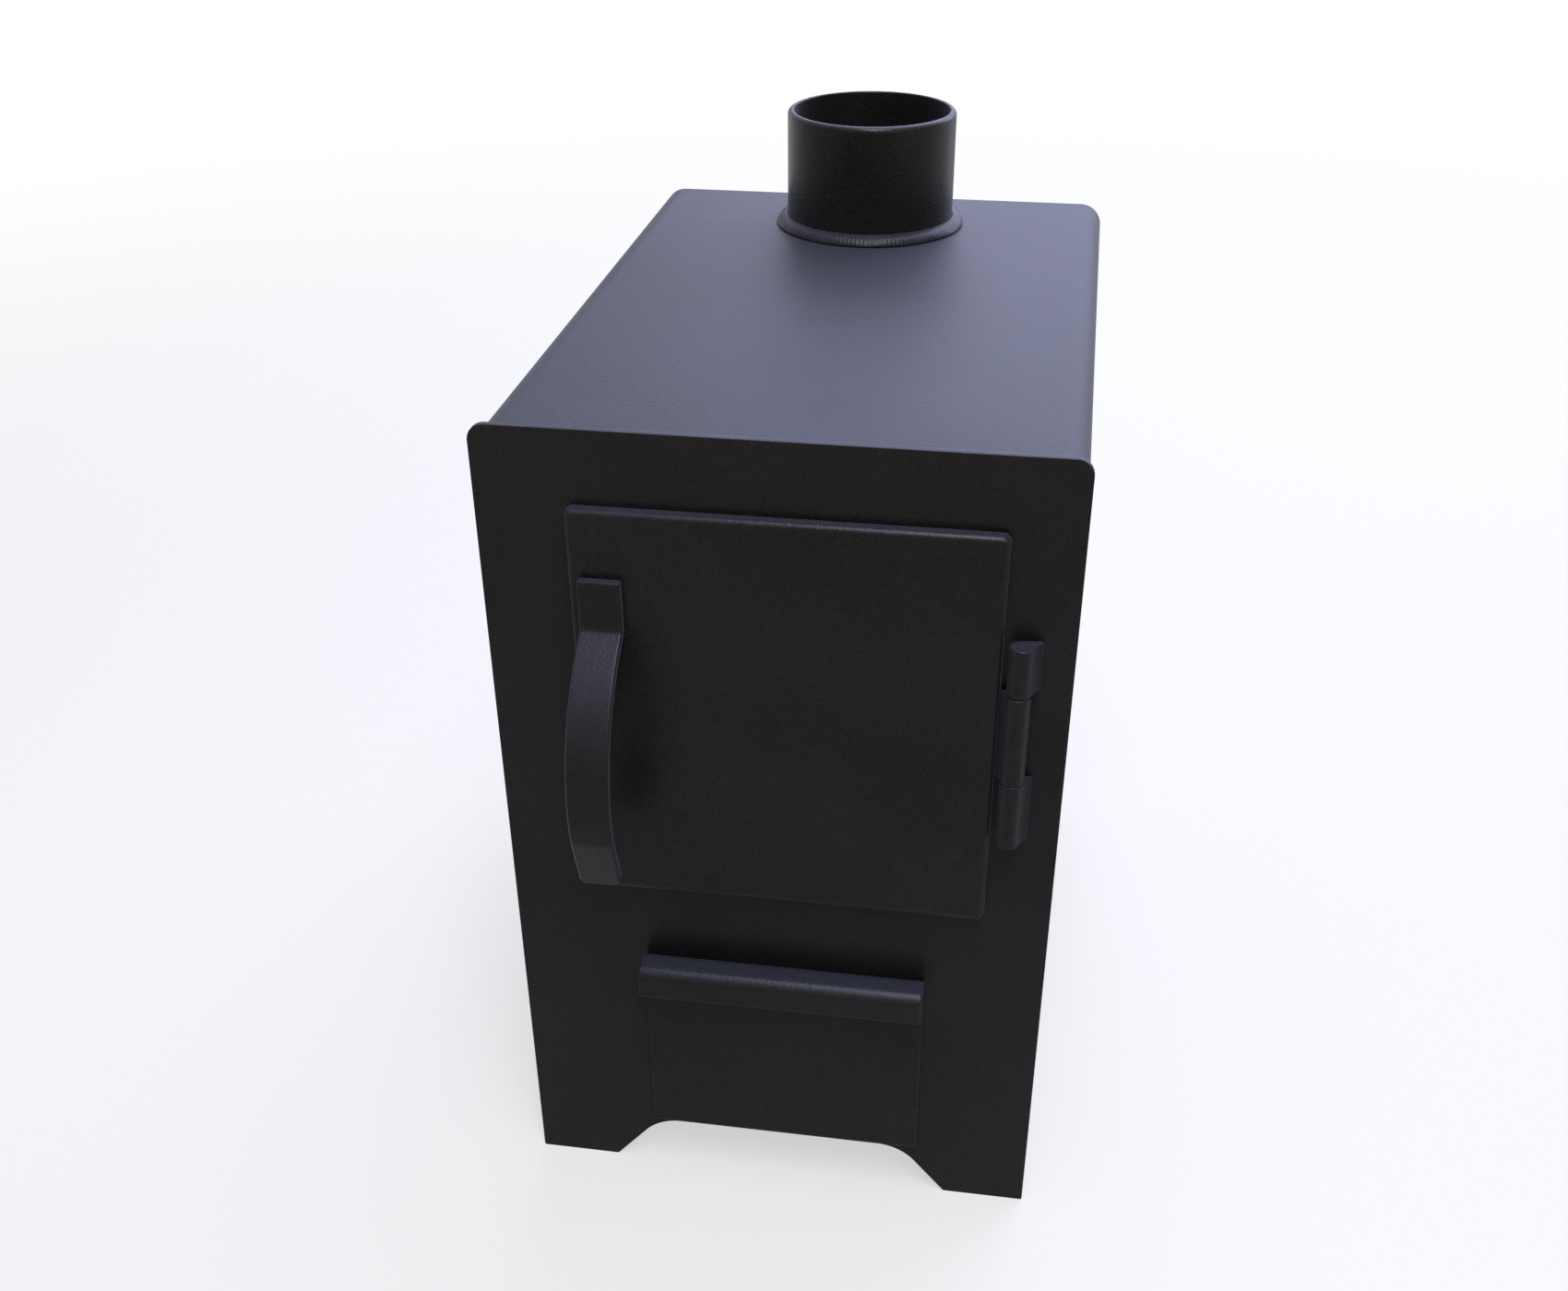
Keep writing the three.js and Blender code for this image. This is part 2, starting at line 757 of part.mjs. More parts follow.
const lowerBoreBottom = lowerZ + hinge.endWall;
const lowerTop = lowerZ + hinge.lowerLength;
const upperBoreTop = hingeTop - hinge.endWall;
addPiece(
  "hinge_knuckle_bottom",
  fixedKnuckle(lowerZ, hinge.lowerLength, lowerBoreBottom, lowerTop + past),
  paint,
);
addPiece("hinge_knuckle_middle", doorKnuckle(), paint);
addPiece(
  "hinge_knuckle_top",
  fixedKnuckle(upperZ, hinge.upperLength, upperZ - past, upperBoreTop),
  paint,
);
addPiece("hinge_pin", hingePin(), bareSteel);

addPiece("ash_drawer_front", ashDrawerFront(), paint);
addPiece("ash_pan_trough", ashPanTrough(), panSteel);
addPiece("ash_pan_front_end", ashPanEnd(0), panSteel);
addPiece("ash_pan_back_end", ashPanEnd(panBack - drawer.panThickness), panSteel);

// The origin is on the floor, in the middle of the whole stove, handle included.
const bounds = new THREE.Box3().setFromObject(pieces);
pieces.position.y = -(bounds.min.y + bounds.max.y) / 2;

const group = new THREE.Group();
group.add(pieces);

export default group;
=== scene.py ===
import math

import bmesh
import bpy
import numpy as np
from mathutils import Matrix, Vector
from mathutils.geometry import tessellate_polygon


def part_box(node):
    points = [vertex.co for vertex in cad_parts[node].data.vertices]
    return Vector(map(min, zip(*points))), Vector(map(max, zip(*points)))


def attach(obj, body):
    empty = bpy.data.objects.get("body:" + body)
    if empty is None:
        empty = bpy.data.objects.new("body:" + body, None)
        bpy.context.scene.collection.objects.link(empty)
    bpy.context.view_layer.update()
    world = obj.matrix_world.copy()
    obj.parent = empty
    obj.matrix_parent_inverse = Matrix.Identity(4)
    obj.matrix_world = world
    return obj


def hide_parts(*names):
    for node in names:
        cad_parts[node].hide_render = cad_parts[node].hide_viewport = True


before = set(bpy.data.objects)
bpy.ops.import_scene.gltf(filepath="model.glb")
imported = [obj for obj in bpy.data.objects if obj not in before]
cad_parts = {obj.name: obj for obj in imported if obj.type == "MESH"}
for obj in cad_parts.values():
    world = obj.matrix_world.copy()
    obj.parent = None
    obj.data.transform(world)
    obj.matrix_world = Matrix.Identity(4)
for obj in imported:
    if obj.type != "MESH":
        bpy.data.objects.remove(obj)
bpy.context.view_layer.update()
print("frame loaded:", len(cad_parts), "pieces")

# Every shape below is worked out in millimetres, in the frame's own axes, and made a mesh in metres.
mm = 0.001
quarterTurn = math.pi / 2


# A node's lowest and highest corners at rest.
def boxOf(node):
    low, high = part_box(node)
    return np.array(low) / mm, np.array(high) / mm


chordGap = 0.02  # how far the chords of an arc may stand off it
leastRadius = 0.5  # tighter arcs than this are divided as it is


# Walks through corners (a, b, radius) and rounds each to its radius with an arc that touches both sides.
# Gives the points and, at each, the unit normal on the right of the walk: outwards on an outline that runs
# anticlockwise, and into the void on a hole that runs clockwise. A short rest stands on the straight on each
# side of an arc, so that the flat beside it shades flat. A chord turns by the root of 8 * gap / radius, or by
# step where that is less.
def roundedPath(corners, closed=True, step=0.2, rest=0.35):
    spots = np.array([c[:2] for c in corners], float)
    radii = np.array([c[2] for c in corners], float)
    ahead = np.roll(spots, -1, axis=0) - spots
    ahead /= np.linalg.norm(ahead, axis=1)[:, None]
    behind = np.roll(ahead, 1, axis=0)
    turn = np.arctan2(behind[:, 0] * ahead[:, 1] - behind[:, 1] * ahead[:, 0], (behind * ahead).sum(1))
    points, normals = [], []
    last = len(corners) - 1
    for i in range(len(corners)):
        right = np.array([behind[i, 1], -behind[i, 0]])
        if not closed and i in (0, last):
            way = ahead[i] if i == 0 else behind[i]
            points.append(spots[i][None])
            normals.append(np.array([[way[1], -way[0]]]))
            continue
        chordTurn = min(step, math.sqrt(8 * chordGap / max(radii[i], leastRadius)))
        count = max(3, math.ceil(abs(turn[i]) / chordTurn))
        angle = np.linspace(0, turn[i], count + 1)
        start = spots[i] - behind[i] * radii[i] * math.tan(abs(turn[i]) / 2)
        centre = start - right * radii[i] * np.sign(turn[i])
        cos, sin = np.cos(angle), np.sin(angle)
        spokes = np.stack([right[0] * cos - right[1] * sin, right[0] * sin + right[1] * cos], axis=1)
        arc = centre + spokes * radii[i] * np.sign(turn[i])
        points.append(np.vstack([arc[:1] - behind[i] * rest, arc, arc[-1:] + ahead[i] * rest]))
        normals.append(np.vstack([spokes[:1], spokes, spokes[-1:]]))
    return np.vstack(points), np.vstack(normals)


# A rectangle with rounded corners, anticlockwise for an outline and clockwise for a hole.
def rectanglePath(low, high, radius, hole=False):
    spots = [(low[0], low[1]), (high[0], low[1]), (high[0], high[1]), (low[0], high[1])]
    corners = [(a, b, radius) for a, b in spots]
    return roundedPath(corners[::-1] if hole else corners)


# A round hole, clockwise: points = centre + radius * (cos, sin), with normals into the void.
def roundHole(centre, radius, count):
    angle = -np.linspace(0, 2 * math.pi, count, endpoint=False)
    spokes = np.stack([np.cos(angle), np.sin(angle)], axis=1)
    return np.array(centre) + spokes * radius, -spokes


# Rows (inset, depth) that lead from the front face round an eased edge, down the side and round the other
# edge to the back face: each edge is a quarter circle, with a short rest before and after it.
def easedRows(thickness, edge, rest=0.3):
    angle = np.linspace(0, quarterTurn, 5)
    arc = np.stack([edge * (1 - np.sin(angle)), edge * (1 - np.cos(angle))], axis=1)
    front = np.vstack([[edge + rest, 0], arc, [0, edge + rest]])
    return np.vstack([front, (front * [1, -1] + [0, thickness])[::-1]])


# Rows of a folded tray: round the bend of its face, down its side, over the cut rim and down inside to its
# floor. Bends and rim are quarter circles, the inner bend tighter by the thickness.
def trayRows(depth, thickness, bend, edge, rest=0.3, leastBend=0.6):
    angle = np.linspace(0, quarterTurn, 9)
    outside = np.stack([bend * (1 - np.sin(angle)), bend * (1 - np.cos(angle))], axis=1)
    small = np.linspace(0, quarterTurn, 4)
    rimOut = np.stack([edge * (1 - np.cos(small)), depth - edge * (1 - np.sin(small))], axis=1)
    rimIn = (rimOut * [-1, 1] + [thickness, 0])[::-1]
    inner = max(bend - thickness, leastBend)
    cornerIn = thickness + inner * np.stack([1 - np.cos(small), 1 - np.sin(small)], axis=1)
    return np.vstack([
        [bend + rest, 0], outside, [0, bend + rest],
        [0, depth - edge - rest], rimOut, rimIn, [thickness, depth - edge - rest],
        [thickness, thickness + inner + rest], cornerIn, [thickness + inner + rest, thickness],
    ])


# A mesh of points in millimetres, smooth and with its faces outwards, as an object in the scene.
def newPiece(name, points, faces):
    mesh = bpy.data.meshes.new(name)
    mesh.from_pydata((np.asarray(points) * mm).tolist(), [], faces)
    work = bmesh.new()
    work.from_mesh(mesh)
    bmesh.ops.recalc_face_normals(work, faces=work.faces)
    for face in work.faces:
        face.smooth = True
    work.to_mesh(mesh)
    work.free()
    piece = bpy.data.objects.new(name, mesh)
    bpy.context.scene.collection.objects.link(piece)
    return piece


# Quads between neighbouring points of a grid, given the number of its first point.
def gridFaces(rows, columns, first=0, wrapRows=False, wrapColumns=False):
    index = first + np.arange(rows * columns).reshape(rows, columns)
    if wrapRows:
        index = np.vstack([index, index[:1]])
    if wrapColumns:
        index = np.hstack([index, index[:, :1]])
    quads = np.stack([index[:-1, :-1], index[:-1, 1:], index[1:, 1:], index[1:, :-1]], axis=-1)
    return quads.reshape(-1, 4).tolist()


# A plate: each loop (points, normals) is carried through its rows, point - normal * inset at that depth, and
# the faces between the loops' first rows, and between their last rows, are filled. A blind loop's last row is
# filled by itself. place turns columns (a, b, depth) into x, y, z.
def plate(name, loops, place):
    points, faces, count = [], [], 0
    fills = {"front": ([], []), "back": ([], [])}
    for loop, rows, *blind in loops:
        path, normals = loop
        rows = np.asarray(rows)
        flat = path[None] - normals[None] * rows[:, 0, None, None]
        depth = np.broadcast_to(rows[:, 1, None, None], flat.shape[:2] + (1,))
        grid = np.concatenate([flat, depth], axis=2)
        numbers = count + np.arange(grid.shape[0] * grid.shape[1]).reshape(grid.shape[:2])
        faces += gridFaces(*grid.shape[:2], first=count, wrapColumns=True)
        fills["front"][0].append(grid[0])
        fills["front"][1].append(numbers[0])
        ends = ([], []) if blind else fills["back"]
        ends[0].append(grid[-1])
        ends[1].append(numbers[-1])
        if blind:
            fills[name + str(count)] = ends
        points.append(grid.reshape(-1, 3))
        count += grid.shape[0] * grid.shape[1]
    for outlines, numbers in fills.values():
        numbers = np.concatenate(numbers)
        triangles = tessellate_polygon([[Vector(p) for p in outline] for outline in outlines])
        faces += [[int(numbers[k]) for k in triangle] for triangle in triangles]
    a, b, depth = np.vstack(points).T
    return newPiece(name, np.stack(place(a, b, depth), axis=1), faces)


# How a plate's own (a, b, depth) become x, y, z: standing across the stove, lying flat, or as a section that
# runs from front to back, from left to right, or upwards.
def standing(front):
    return lambda a, b, depth: (a, front + depth, b)


def lying(top):
    return lambda a, b, depth: (a, b, top - depth)


def acrossFrom(left):
    return lambda a, b, depth: (left + depth, a, b)


def upFrom(bottom):
    return lambda a, b, depth: (a, b, bottom + depth)


# Outlines that stand across the stove and run from low's y to high's y, with eased edges.
def runBack(name, outlines, low, high, edge):
    rows = easedRows(high[1] - low[1], edge)
    return plate(name, [(outline, rows) for outline in outlines], standing(low[1]))


# A round piece: the profile's columns (radius, height) are turned about an axis through centre, and swell, a
# function of the angle and the place along the profile, is added to the radius.
def turned(name, profile, centre, along="z", count=96, swell=None, closed=True):
    profile = np.asarray(profile, float)
    angle = np.linspace(0, 2 * math.pi, count, endpoint=False)[None, :]
    part = np.linspace(0, 1, len(profile))[:, None]
    radius = profile[:, 0, None] + (swell(angle, part) if swell else 0) + 0 * angle
    height = profile[:, 1, None] + 0 * angle
    side, up = radius * np.cos(angle), radius * np.sin(angle)
    flat = {"z": (side, up, height), "y": (side, height, up)}[along]
    points = np.stack(flat, axis=-1).reshape(-1, 3) + np.array(centre)
    faces = gridFaces(len(profile), count, wrapRows=closed, wrapColumns=True)
    if not closed:
        faces += [list(range(count)), list(range((len(profile) - 1) * count, len(profile) * count))]
    return newPiece(name, points, faces)


# An sRGB hex colour as linear red, green, blue and alpha.
def linear(hexColour):
    channels = [int(hexColour[i : i + 2], 16) / 255 for i in (1, 3, 5)]
    return tuple(c / 12.92 if c <= 0.04045 else ((c + 0.055) / 1.055) ** 2.4 for c in channels) + (1,)


# Adds one node: settings are its properties or its sockets' values, links are what feeds its sockets.
def addNode(tree, kind, settings=None, links=None):
    node = tree.nodes.new(kind)
    for key, value in (settings or {}).items():
        if isinstance(key, str) and hasattr(node, key):
            setattr(node, key, value)
        else:
            node.inputs[key].default_value = value
    for key, source in (links or {}).items():
        tree.links.new(source, node.inputs[key])
    return node


# A material with an empty node tree.
def newMaterial(name):
    material = bpy.data.materials.new(name)
    material.use_nodes = True
    material.node_tree.nodes.clear()
    return material, material.node_tree


# Pattern scales are 1 / size, because the coordinates are in metres.
def perMetre(sizeInMm):
    return 1 / (sizeInMm * mm)


paint = {
    "dark": "#090707",
    "light": "#181414",
    # the lighter, bluish colour that faces looking up are mixed towards: painted skylight
    "paintedSkylight": "#23252E",
    "paintedSkylightFrom": (0.25, 0.95),  # how far up a face looks, as its normal's z, where the painted skylight starts and is full
    # How far a face looks to the front or the back, as its normal's y, where dulling starts and is full. Set
    # against the photo, where the top and the right bend are dull; why they are isn't known.
    "dullFrom": (0.35, 0.0),
    "specularLevel": 0.125,
    "roughness": (0.29, 0.37),
    "dullRoughness": 0.57,
    "sheen": 0.06,
    "sheenRoughness": 0.42,
    "sheenTint": "#E6E8FF",
    "noiseSpan": (0.35, 0.65),  # the part of a noise's values that its colours are spread over
    "glossSpan": (0.3, 0.7),  # the same for its roughness
    "leastPaintedSkylight": 0.6,  # how much of the painted skylight lies where it is thinnest
    "cloudSize": 90,  # slow unevenness of the sprayed coat
    "grainSize": 1.8,  # dry spray grain, chosen so that it shows; no real grain was measured
    "grainHeight": 0.18,
    "grainShare": 0.6,  # of the colour's unevenness, the rest being the cloud's
    "waveSize": 150,  # waviness of the welded sheet
    "waveHeight": 0.35,
}


# Heat-resistant silicone paint, sprayed over mild steel: near black and satin. It shows little of what it
# faces squarely and a soft sheen at a low angle, over a fine dry grain. Faces that look up are mixed towards a
# lighter, bluish colour, unevenly: painted skylight, standing in for the sky's reflection. The top is dull.
def makePaint(name, values):
    material, tree = newMaterial(name)
    coordinates = addNode(tree, "ShaderNodeTexCoord")
    where = coordinates.outputs["Object"]
    thinnest, thickest = values["noiseSpan"]
    cloud = addNode(
        tree, "ShaderNodeTexNoise",
        {"Scale": perMetre(values["cloudSize"]), "Detail": 3.0, "Roughness": 0.55},
        {"Vector": where},
    )
    grain = addNode(
        tree, "ShaderNodeTexNoise",
        {"Scale": perMetre(values["grainSize"]), "Detail": 2.0, "Roughness": 0.6},
        {"Vector": where},
    )
    wave = addNode(
        tree, "ShaderNodeTexNoise",
        {"Scale": perMetre(values["waveSize"]), "Detail": 1.0},
        {"Vector": where},
    )
    blend = addNode(
        tree, "ShaderNodeMix",
        {"data_type": "FLOAT", 0: values["grainShare"]},
        {2: cloud.outputs["Fac"], 3: grain.outputs["Fac"]},
    )
    colour = addNode(tree, "ShaderNodeValToRGB", links={"Fac": blend.outputs[0]})
    colour.color_ramp.elements[0].position = thinnest
    colour.color_ramp.elements[0].color = linear(values["dark"])
    colour.color_ramp.elements[1].position = thickest
    colour.color_ramp.elements[1].color = linear(values["light"])
    shine = addNode(
        tree, "ShaderNodeMapRange",
        {
            "From Min": values["glossSpan"][0], "From Max": values["glossSpan"][1],
            "To Min": values["roughness"][0], "To Max": values["roughness"][1],
        },
        {"Value": cloud.outputs["Fac"]},
    )
    facing = addNode(tree, "ShaderNodeSeparateXYZ", links={"Vector": coordinates.outputs["Normal"]})
    forwards = addNode(tree, "ShaderNodeMath", {"operation": "ABSOLUTE"}, {0: facing.outputs["Y"]})
    upwardMask, dulled = (
        addNode(
            tree, "ShaderNodeMapRange",
            {"interpolation_type": "SMOOTHSTEP", "From Min": values[key][0], "From Max": values[key][1]},
            {"Value": lean},
        )
        for key, lean in (("paintedSkylightFrom", facing.outputs["Z"]), ("dullFrom", forwards.outputs[0]))
    )
    # Painted skylight: faces that look up are mixed towards a lighter, bluish colour, less in places by the
    # noise.
    patchy = addNode(
        tree, "ShaderNodeMapRange",
        {"From Min": thinnest, "From Max": thickest, "To Min": values["leastPaintedSkylight"], "To Max": 1.0},
        {"Value": blend.outputs[0]},
    )
    paintedSkylight = addNode(
        tree, "ShaderNodeMath",
        {"operation": "MULTIPLY"},
        {0: upwardMask.outputs[0], 1: patchy.outputs[0]},
    )
    # the base colour with the painted skylight mixed in on faces that look up
    paintedSkylightColour = addNode(
        tree, "ShaderNodeMix",
        {"data_type": "RGBA", 7: linear(values["paintedSkylight"])},
        {0: paintedSkylight.outputs[0], 6: colour.outputs["Color"]},
    )
    dull = addNode(
        tree, "ShaderNodeMix",
        {"data_type": "FLOAT", 3: values["dullRoughness"]},
        {0: dulled.outputs[0], 2: shine.outputs["Result"]},
    )
    waves = addNode(
        tree, "ShaderNodeBump",
        {"Strength": 1.0, "Distance": values["waveHeight"] * mm},
        {"Height": wave.outputs["Fac"]},
    )
    bumps = addNode(
        tree, "ShaderNodeBump",
        {"Strength": 1.0, "Distance": values["grainHeight"] * mm},
        {"Height": grain.outputs["Fac"], "Normal": waves.outputs["Normal"]},
    )
    shader = addNode(
        tree, "ShaderNodeBsdfPrincipled",
        {
            "Metallic": 0.0, "IOR": 1.5, "Specular IOR Level": values["specularLevel"],
            "Sheen Weight": values["sheen"], "Sheen Roughness": values["sheenRoughness"],
            "Sheen Tint": linear(values["sheenTint"]),
        },
        {
            "Base Color": paintedSkylightColour.outputs[2],
            "Roughness": dull.outputs[0],
            "Normal": bumps.outputs["Normal"],
        },
    )
    addNode(tree, "ShaderNodeOutputMaterial", links={"Surface": shader.outputs["BSDF"]})
    return material


stovePaint = makePaint("heatResistantPaint", paint)

castIronLook = {
    "dark": "#232221", "light": "#3A3734", "noiseSpan": (0.35, 0.7),
    "grainSize": 0.9, "grainHeight": 0.12,
    "roughness": 0.78, "specularLevel": 0.4,
}


# Raw grey iron from a sand mould: dull, dark and grainy.
def makeCastIron(values):
    material, tree = newMaterial("sandCastIron")
    where = addNode(tree, "ShaderNodeTexCoord").outputs["Object"]
    grain = addNode(
        tree, "ShaderNodeTexNoise",
        {"Scale": perMetre(values["grainSize"]), "Detail": 4.0, "Roughness": 0.65},
        {"Vector": where},
    )
    colour = addNode(tree, "ShaderNodeValToRGB", links={"Fac": grain.outputs["Fac"]})
    colour.color_ramp.elements[0].position = values["noiseSpan"][0]
    colour.color_ramp.elements[0].color = linear(values["dark"])
    colour.color_ramp.elements[1].position = values["noiseSpan"][1]
    colour.color_ramp.elements[1].color = linear(values["light"])
    bumps = addNode(
        tree, "ShaderNodeBump",
        {"Strength": 1.0, "Distance": values["grainHeight"] * mm},
        {"Height": grain.outputs["Fac"]},
    )
    shader = addNode(
        tree, "ShaderNodeBsdfPrincipled",
        {"Metallic": 0.0, "Roughness": values["roughness"], "Specular IOR Level": values["specularLevel"]},
        {"Base Color": colour.outputs["Color"], "Normal": bumps.outputs["Normal"]},
    )
    addNode(tree, "ShaderNodeOutputMaterial", links={"Surface": shader.outputs["BSDF"]})
    return material


castIron = makeCastIron(castIronLook)

galvanisedLook = {"dark": "#8E9294", "light": "#B9BDBE", "spangleSize": 9, "roughness": (0.38, 0.56)}


# Hot-dip galvanised sheet: a pale grey metal whose crystals, the spangle, differ a little in tone and gloss.
def makeGalvanised(values):
    material, tree = newMaterial("galvanisedSheet")
    where = addNode(tree, "ShaderNodeTexCoord").outputs["Object"]
    spangle = addNode(
        tree, "ShaderNodeTexVoronoi",
        {"Scale": perMetre(values["spangleSize"]), "Randomness": 1.0},
        {"Vector": where},
    )
    tone = addNode(tree, "ShaderNodeSeparateColor", links={"Color": spangle.outputs["Color"]})
    colour = addNode(tree, "ShaderNodeValToRGB", links={"Fac": tone.outputs["Red"]})
    colour.color_ramp.elements[0].color = linear(values["dark"])
    colour.color_ramp.elements[1].color = linear(values["light"])
    shine = addNode(
        tree, "ShaderNodeMapRange",
        {"To Min": values["roughness"][0], "To Max": values["roughness"][1]},
        {"Value": tone.outputs["Green"]},
    )
    shader = addNode(
        tree, "ShaderNodeBsdfPrincipled",
        {"Metallic": 1.0},
        {"Base Color": colour.outputs["Color"], "Roughness": shine.outputs["Result"]},
    )
    addNode(tree, "ShaderNodeOutputMaterial", links={"Surface": shader.outputs["BSDF"]})
    return material


galvanised = makeGalvanised(galvanisedLook)

zincLook = {"dark": "#8F8D88", "light": "#B4B1AA", "markSize": 0.6, "roughness": (0.28, 0.42)}


# Zinc-plated turned steel: a bright grey metal with fine turning marks.
def makeZinc(values):
    material, tree = newMaterial("zincPlatedSteel")
    where = addNode(tree, "ShaderNodeTexCoord").outputs["Object"]
    marks = addNode(
        tree, "ShaderNodeTexNoise",
        {"Scale": perMetre(values["markSize"]), "Detail": 2.0},
        {"Vector": where},
    )
    colour = addNode(tree, "ShaderNodeValToRGB", links={"Fac": marks.outputs["Fac"]})
    colour.color_ramp.elements[0].color = linear(values["dark"])
    colour.color_ramp.elements[1].color = linear(values["light"])
    shine = addNode(
        tree, "ShaderNodeMapRange",
        {"To Min": values["roughness"][0], "To Max": values["roughness"][1]},
        {"Value": marks.outputs["Fac"]},
    )
    shader = addNode(
        tree, "ShaderNodeBsdfPrincipled",
        {"Metallic": 1.0},
        {"Base Color": colour.outputs["Color"], "Roughness": shine.outputs["Result"]},
    )
    addNode(tree, "ShaderNodeOutputMaterial", links={"Surface": shader.outputs["BSDF"]})
    return material


zincSteel = makeZinc(zincLook)

ropeLook = {
    "dark": "#8B857A", "light": "#CFC9BC", "noiseSpan": (0.3, 0.65),
    "threadSize": 0.7, "threadHeight": 0.15,
    "roughness": 0.9, "sheen": 0.3, "sheenRoughness": 0.6,
}


# Braided glass-fibre rope: off-white, matt and slightly hairy. Its colour follows the noise of its bumps and is
# darker where they are low: painted shade between the strands.
def makeRope(values):
    material, tree = newMaterial("glassFibreRope")
    where = addNode(tree, "ShaderNodeTexCoord").outputs["Object"]
    threads = addNode(
        tree, "ShaderNodeTexNoise",
        {"Scale": perMetre(values["threadSize"]), "Detail": 3.0, "Roughness": 0.7},
        {"Vector": where},
    )
    # darker where the bump is low: painted shade between the strands
    colour = addNode(tree, "ShaderNodeValToRGB", links={"Fac": threads.outputs["Fac"]})
    colour.color_ramp.elements[0].position = values["noiseSpan"][0]
    colour.color_ramp.elements[0].color = linear(values["dark"])
    colour.color_ramp.elements[1].position = values["noiseSpan"][1]
    colour.color_ramp.elements[1].color = linear(values["light"])
    bumps = addNode(
        tree, "ShaderNodeBump",
        {"Strength": 1.0, "Distance": values["threadHeight"] * mm},
        {"Height": threads.outputs["Fac"]},
    )
    shader = addNode(
        tree, "ShaderNodeBsdfPrincipled",
        {
            "Roughness": values["roughness"],
            "Sheen Weight": values["sheen"], "Sheen Roughness": values["sheenRoughness"],
        },
        {"Base Color": colour.outputs["Color"], "Normal": bumps.outputs["Normal"]},
    )
    addNode(tree, "ShaderNodeOutputMaterial", links={"Surface": shader.outputs["BSDF"]})
    return material


glassRope = makeRope(ropeLook)
print("materials made")


# Gives a finished piece its material and its body, and hides the node it stands for; the slot's name is not
# used.
def fit(piece, material, slotName, body, *nodes):
    piece.data.materials.append(material)
    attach(piece, body)
    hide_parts(*nodes)
    return piece


frontSheet = {
    "edge": 0.6, "topCorner": 9,
    "footWidth": 49, "footCorner": 1.2,
    "slopeRun": 20, "slopeRise": 24,  # the feet's inner sides lean by this much
    "archHeight": 34, "archBend": 30,
    "doorHoleMargin": 10, "doorHoleCorner": 4,
    "drawerSideMargin": 7, "drawerTopMargin": 6, "drawerHoleBottom": 42.6, "holeCorner": 1,
}


# A plate's outline: up its sides to two rounded top corners, and along an arch that leaves two feet.
def footedOutline(halfWidth, top, topCorner, footInner, values):
    bend = footInner - values["slopeRun"] * values["archHeight"] / values["slopeRise"]
    corner = values["footCorner"]
    half = [
        (footInner, 0, corner),
        (halfWidth, 0, corner),
        (halfWidth, top, topCorner),
    ]
    mirrored = [(-a, b, r) for a, b, r in half[::-1]]
    arch = [(a, values["archHeight"], values["archBend"]) for a in (-bend, bend)]
    return roundedPath(half + mirrored + arch)


# The front plate: the footed outline, cut through for the firebox and the ash drawer.
def makeFrontPlate(values):
    low, high = boxOf("front_plate")
    doorLow, doorHigh = boxOf("door_panel")
    drawerLow, drawerHigh = boxOf("ash_drawer_front")
    margin = values["doorHoleMargin"]
    outline = footedOutline(high[0], high[2], values["topCorner"], high[0] - values["footWidth"], values)
    doorHole = rectanglePath(
        doorLow[[0, 2]] + margin, doorHigh[[0, 2]] - margin,
        values["doorHoleCorner"], True,
    )
    drawerHole = rectanglePath(
        (drawerLow[0] + values["drawerSideMargin"], values["drawerHoleBottom"]),
        (drawerHigh[0] - values["drawerSideMargin"], drawerHigh[2] - values["drawerTopMargin"]),
        values["holeCorner"], True,
    )
    return runBack("front_plate_sheet", [outline, doorHole, drawerHole], low, high, values["edge"])


fit(makeFrontPlate(frontSheet), stovePaint, "stove_paint", "stove", "front_plate")

shellSheet = {"thickness": 3, "bend": 14, "edge": 0.5, "cutCorner": 0.9,
              "holeClearance": 0.3, "cutterReach": 10,
              "sharpAngle": 40}  # a turn between faces, in degrees, from which their edge shades sharp


# One sheet bent over the top: a section of even thickness, its inner bends tighter by the thickness, run from
# front to back, then cut through for the spigot.
def makeShell(values):
    low, high = boxOf("body_shell")
    spigotLow, spigotHigh = boxOf("flue_spigot")
    t, bend, cut = values["thickness"], values["bend"], values["cutCorner"]
    outer, top, bottom = high[0], high[2], low[2]
    section = [
        (outer, bottom, cut), (outer, top, bend), (-outer, top, bend), (-outer, bottom, cut),
        (t - outer, bottom, cut), (t - outer, top - t, bend - t), (outer - t, top - t, bend - t),
        (outer - t, bottom, cut),
    ]
    shell = runBack("body_shell_sheet", [roundedPath(section)], low, high, values["edge"])
    centre = (spigotLow + spigotHigh) / 2
    radius = (spigotHigh[0] - spigotLow[0]) / 2 + values["holeClearance"]
    reach = values["cutterReach"]
    cutter = turned("flueHoleCutter", [(radius, top - reach), (radius, top + reach)],
                    (centre[0], centre[1], 0), closed=False)
    hole = shell.modifiers.new("flue hole", "BOOLEAN")
    hole.object = cutter
    hole.solver = "EXACT"
    bpy.context.view_layer.update()
    graph = bpy.context.evaluated_depsgraph_get()
    cutMesh = bpy.data.meshes.new_from_object(shell.evaluated_get(graph))
    shell.modifiers.clear()
    cutMesh.set_sharp_from_angle(angle=math.radians(values["sharpAngle"]))
    shell.data = cutMesh
    shell.data.materials.clear()
    bpy.data.objects.remove(cutter)
    return shell


fit(makeShell(shellSheet), stovePaint, "stove_paint", "stove", "body_shell")

innerSheets = {"edge": 0.4, "backCorner": 10.7, "corner": 1, "grateHole": 1.5}


# The back plate stands inside the shell and has the front's arch and feet.
def makeBackPlate(values):
    low, high = boxOf("back_plate")
    footInner = boxOf("front_plate")[1][0] - frontSheet["footWidth"]
    outline = footedOutline(high[0], high[2], values["backCorner"], footInner, frontSheet)
    return runBack("back_plate_sheet", [outline], low, high, values["edge"])


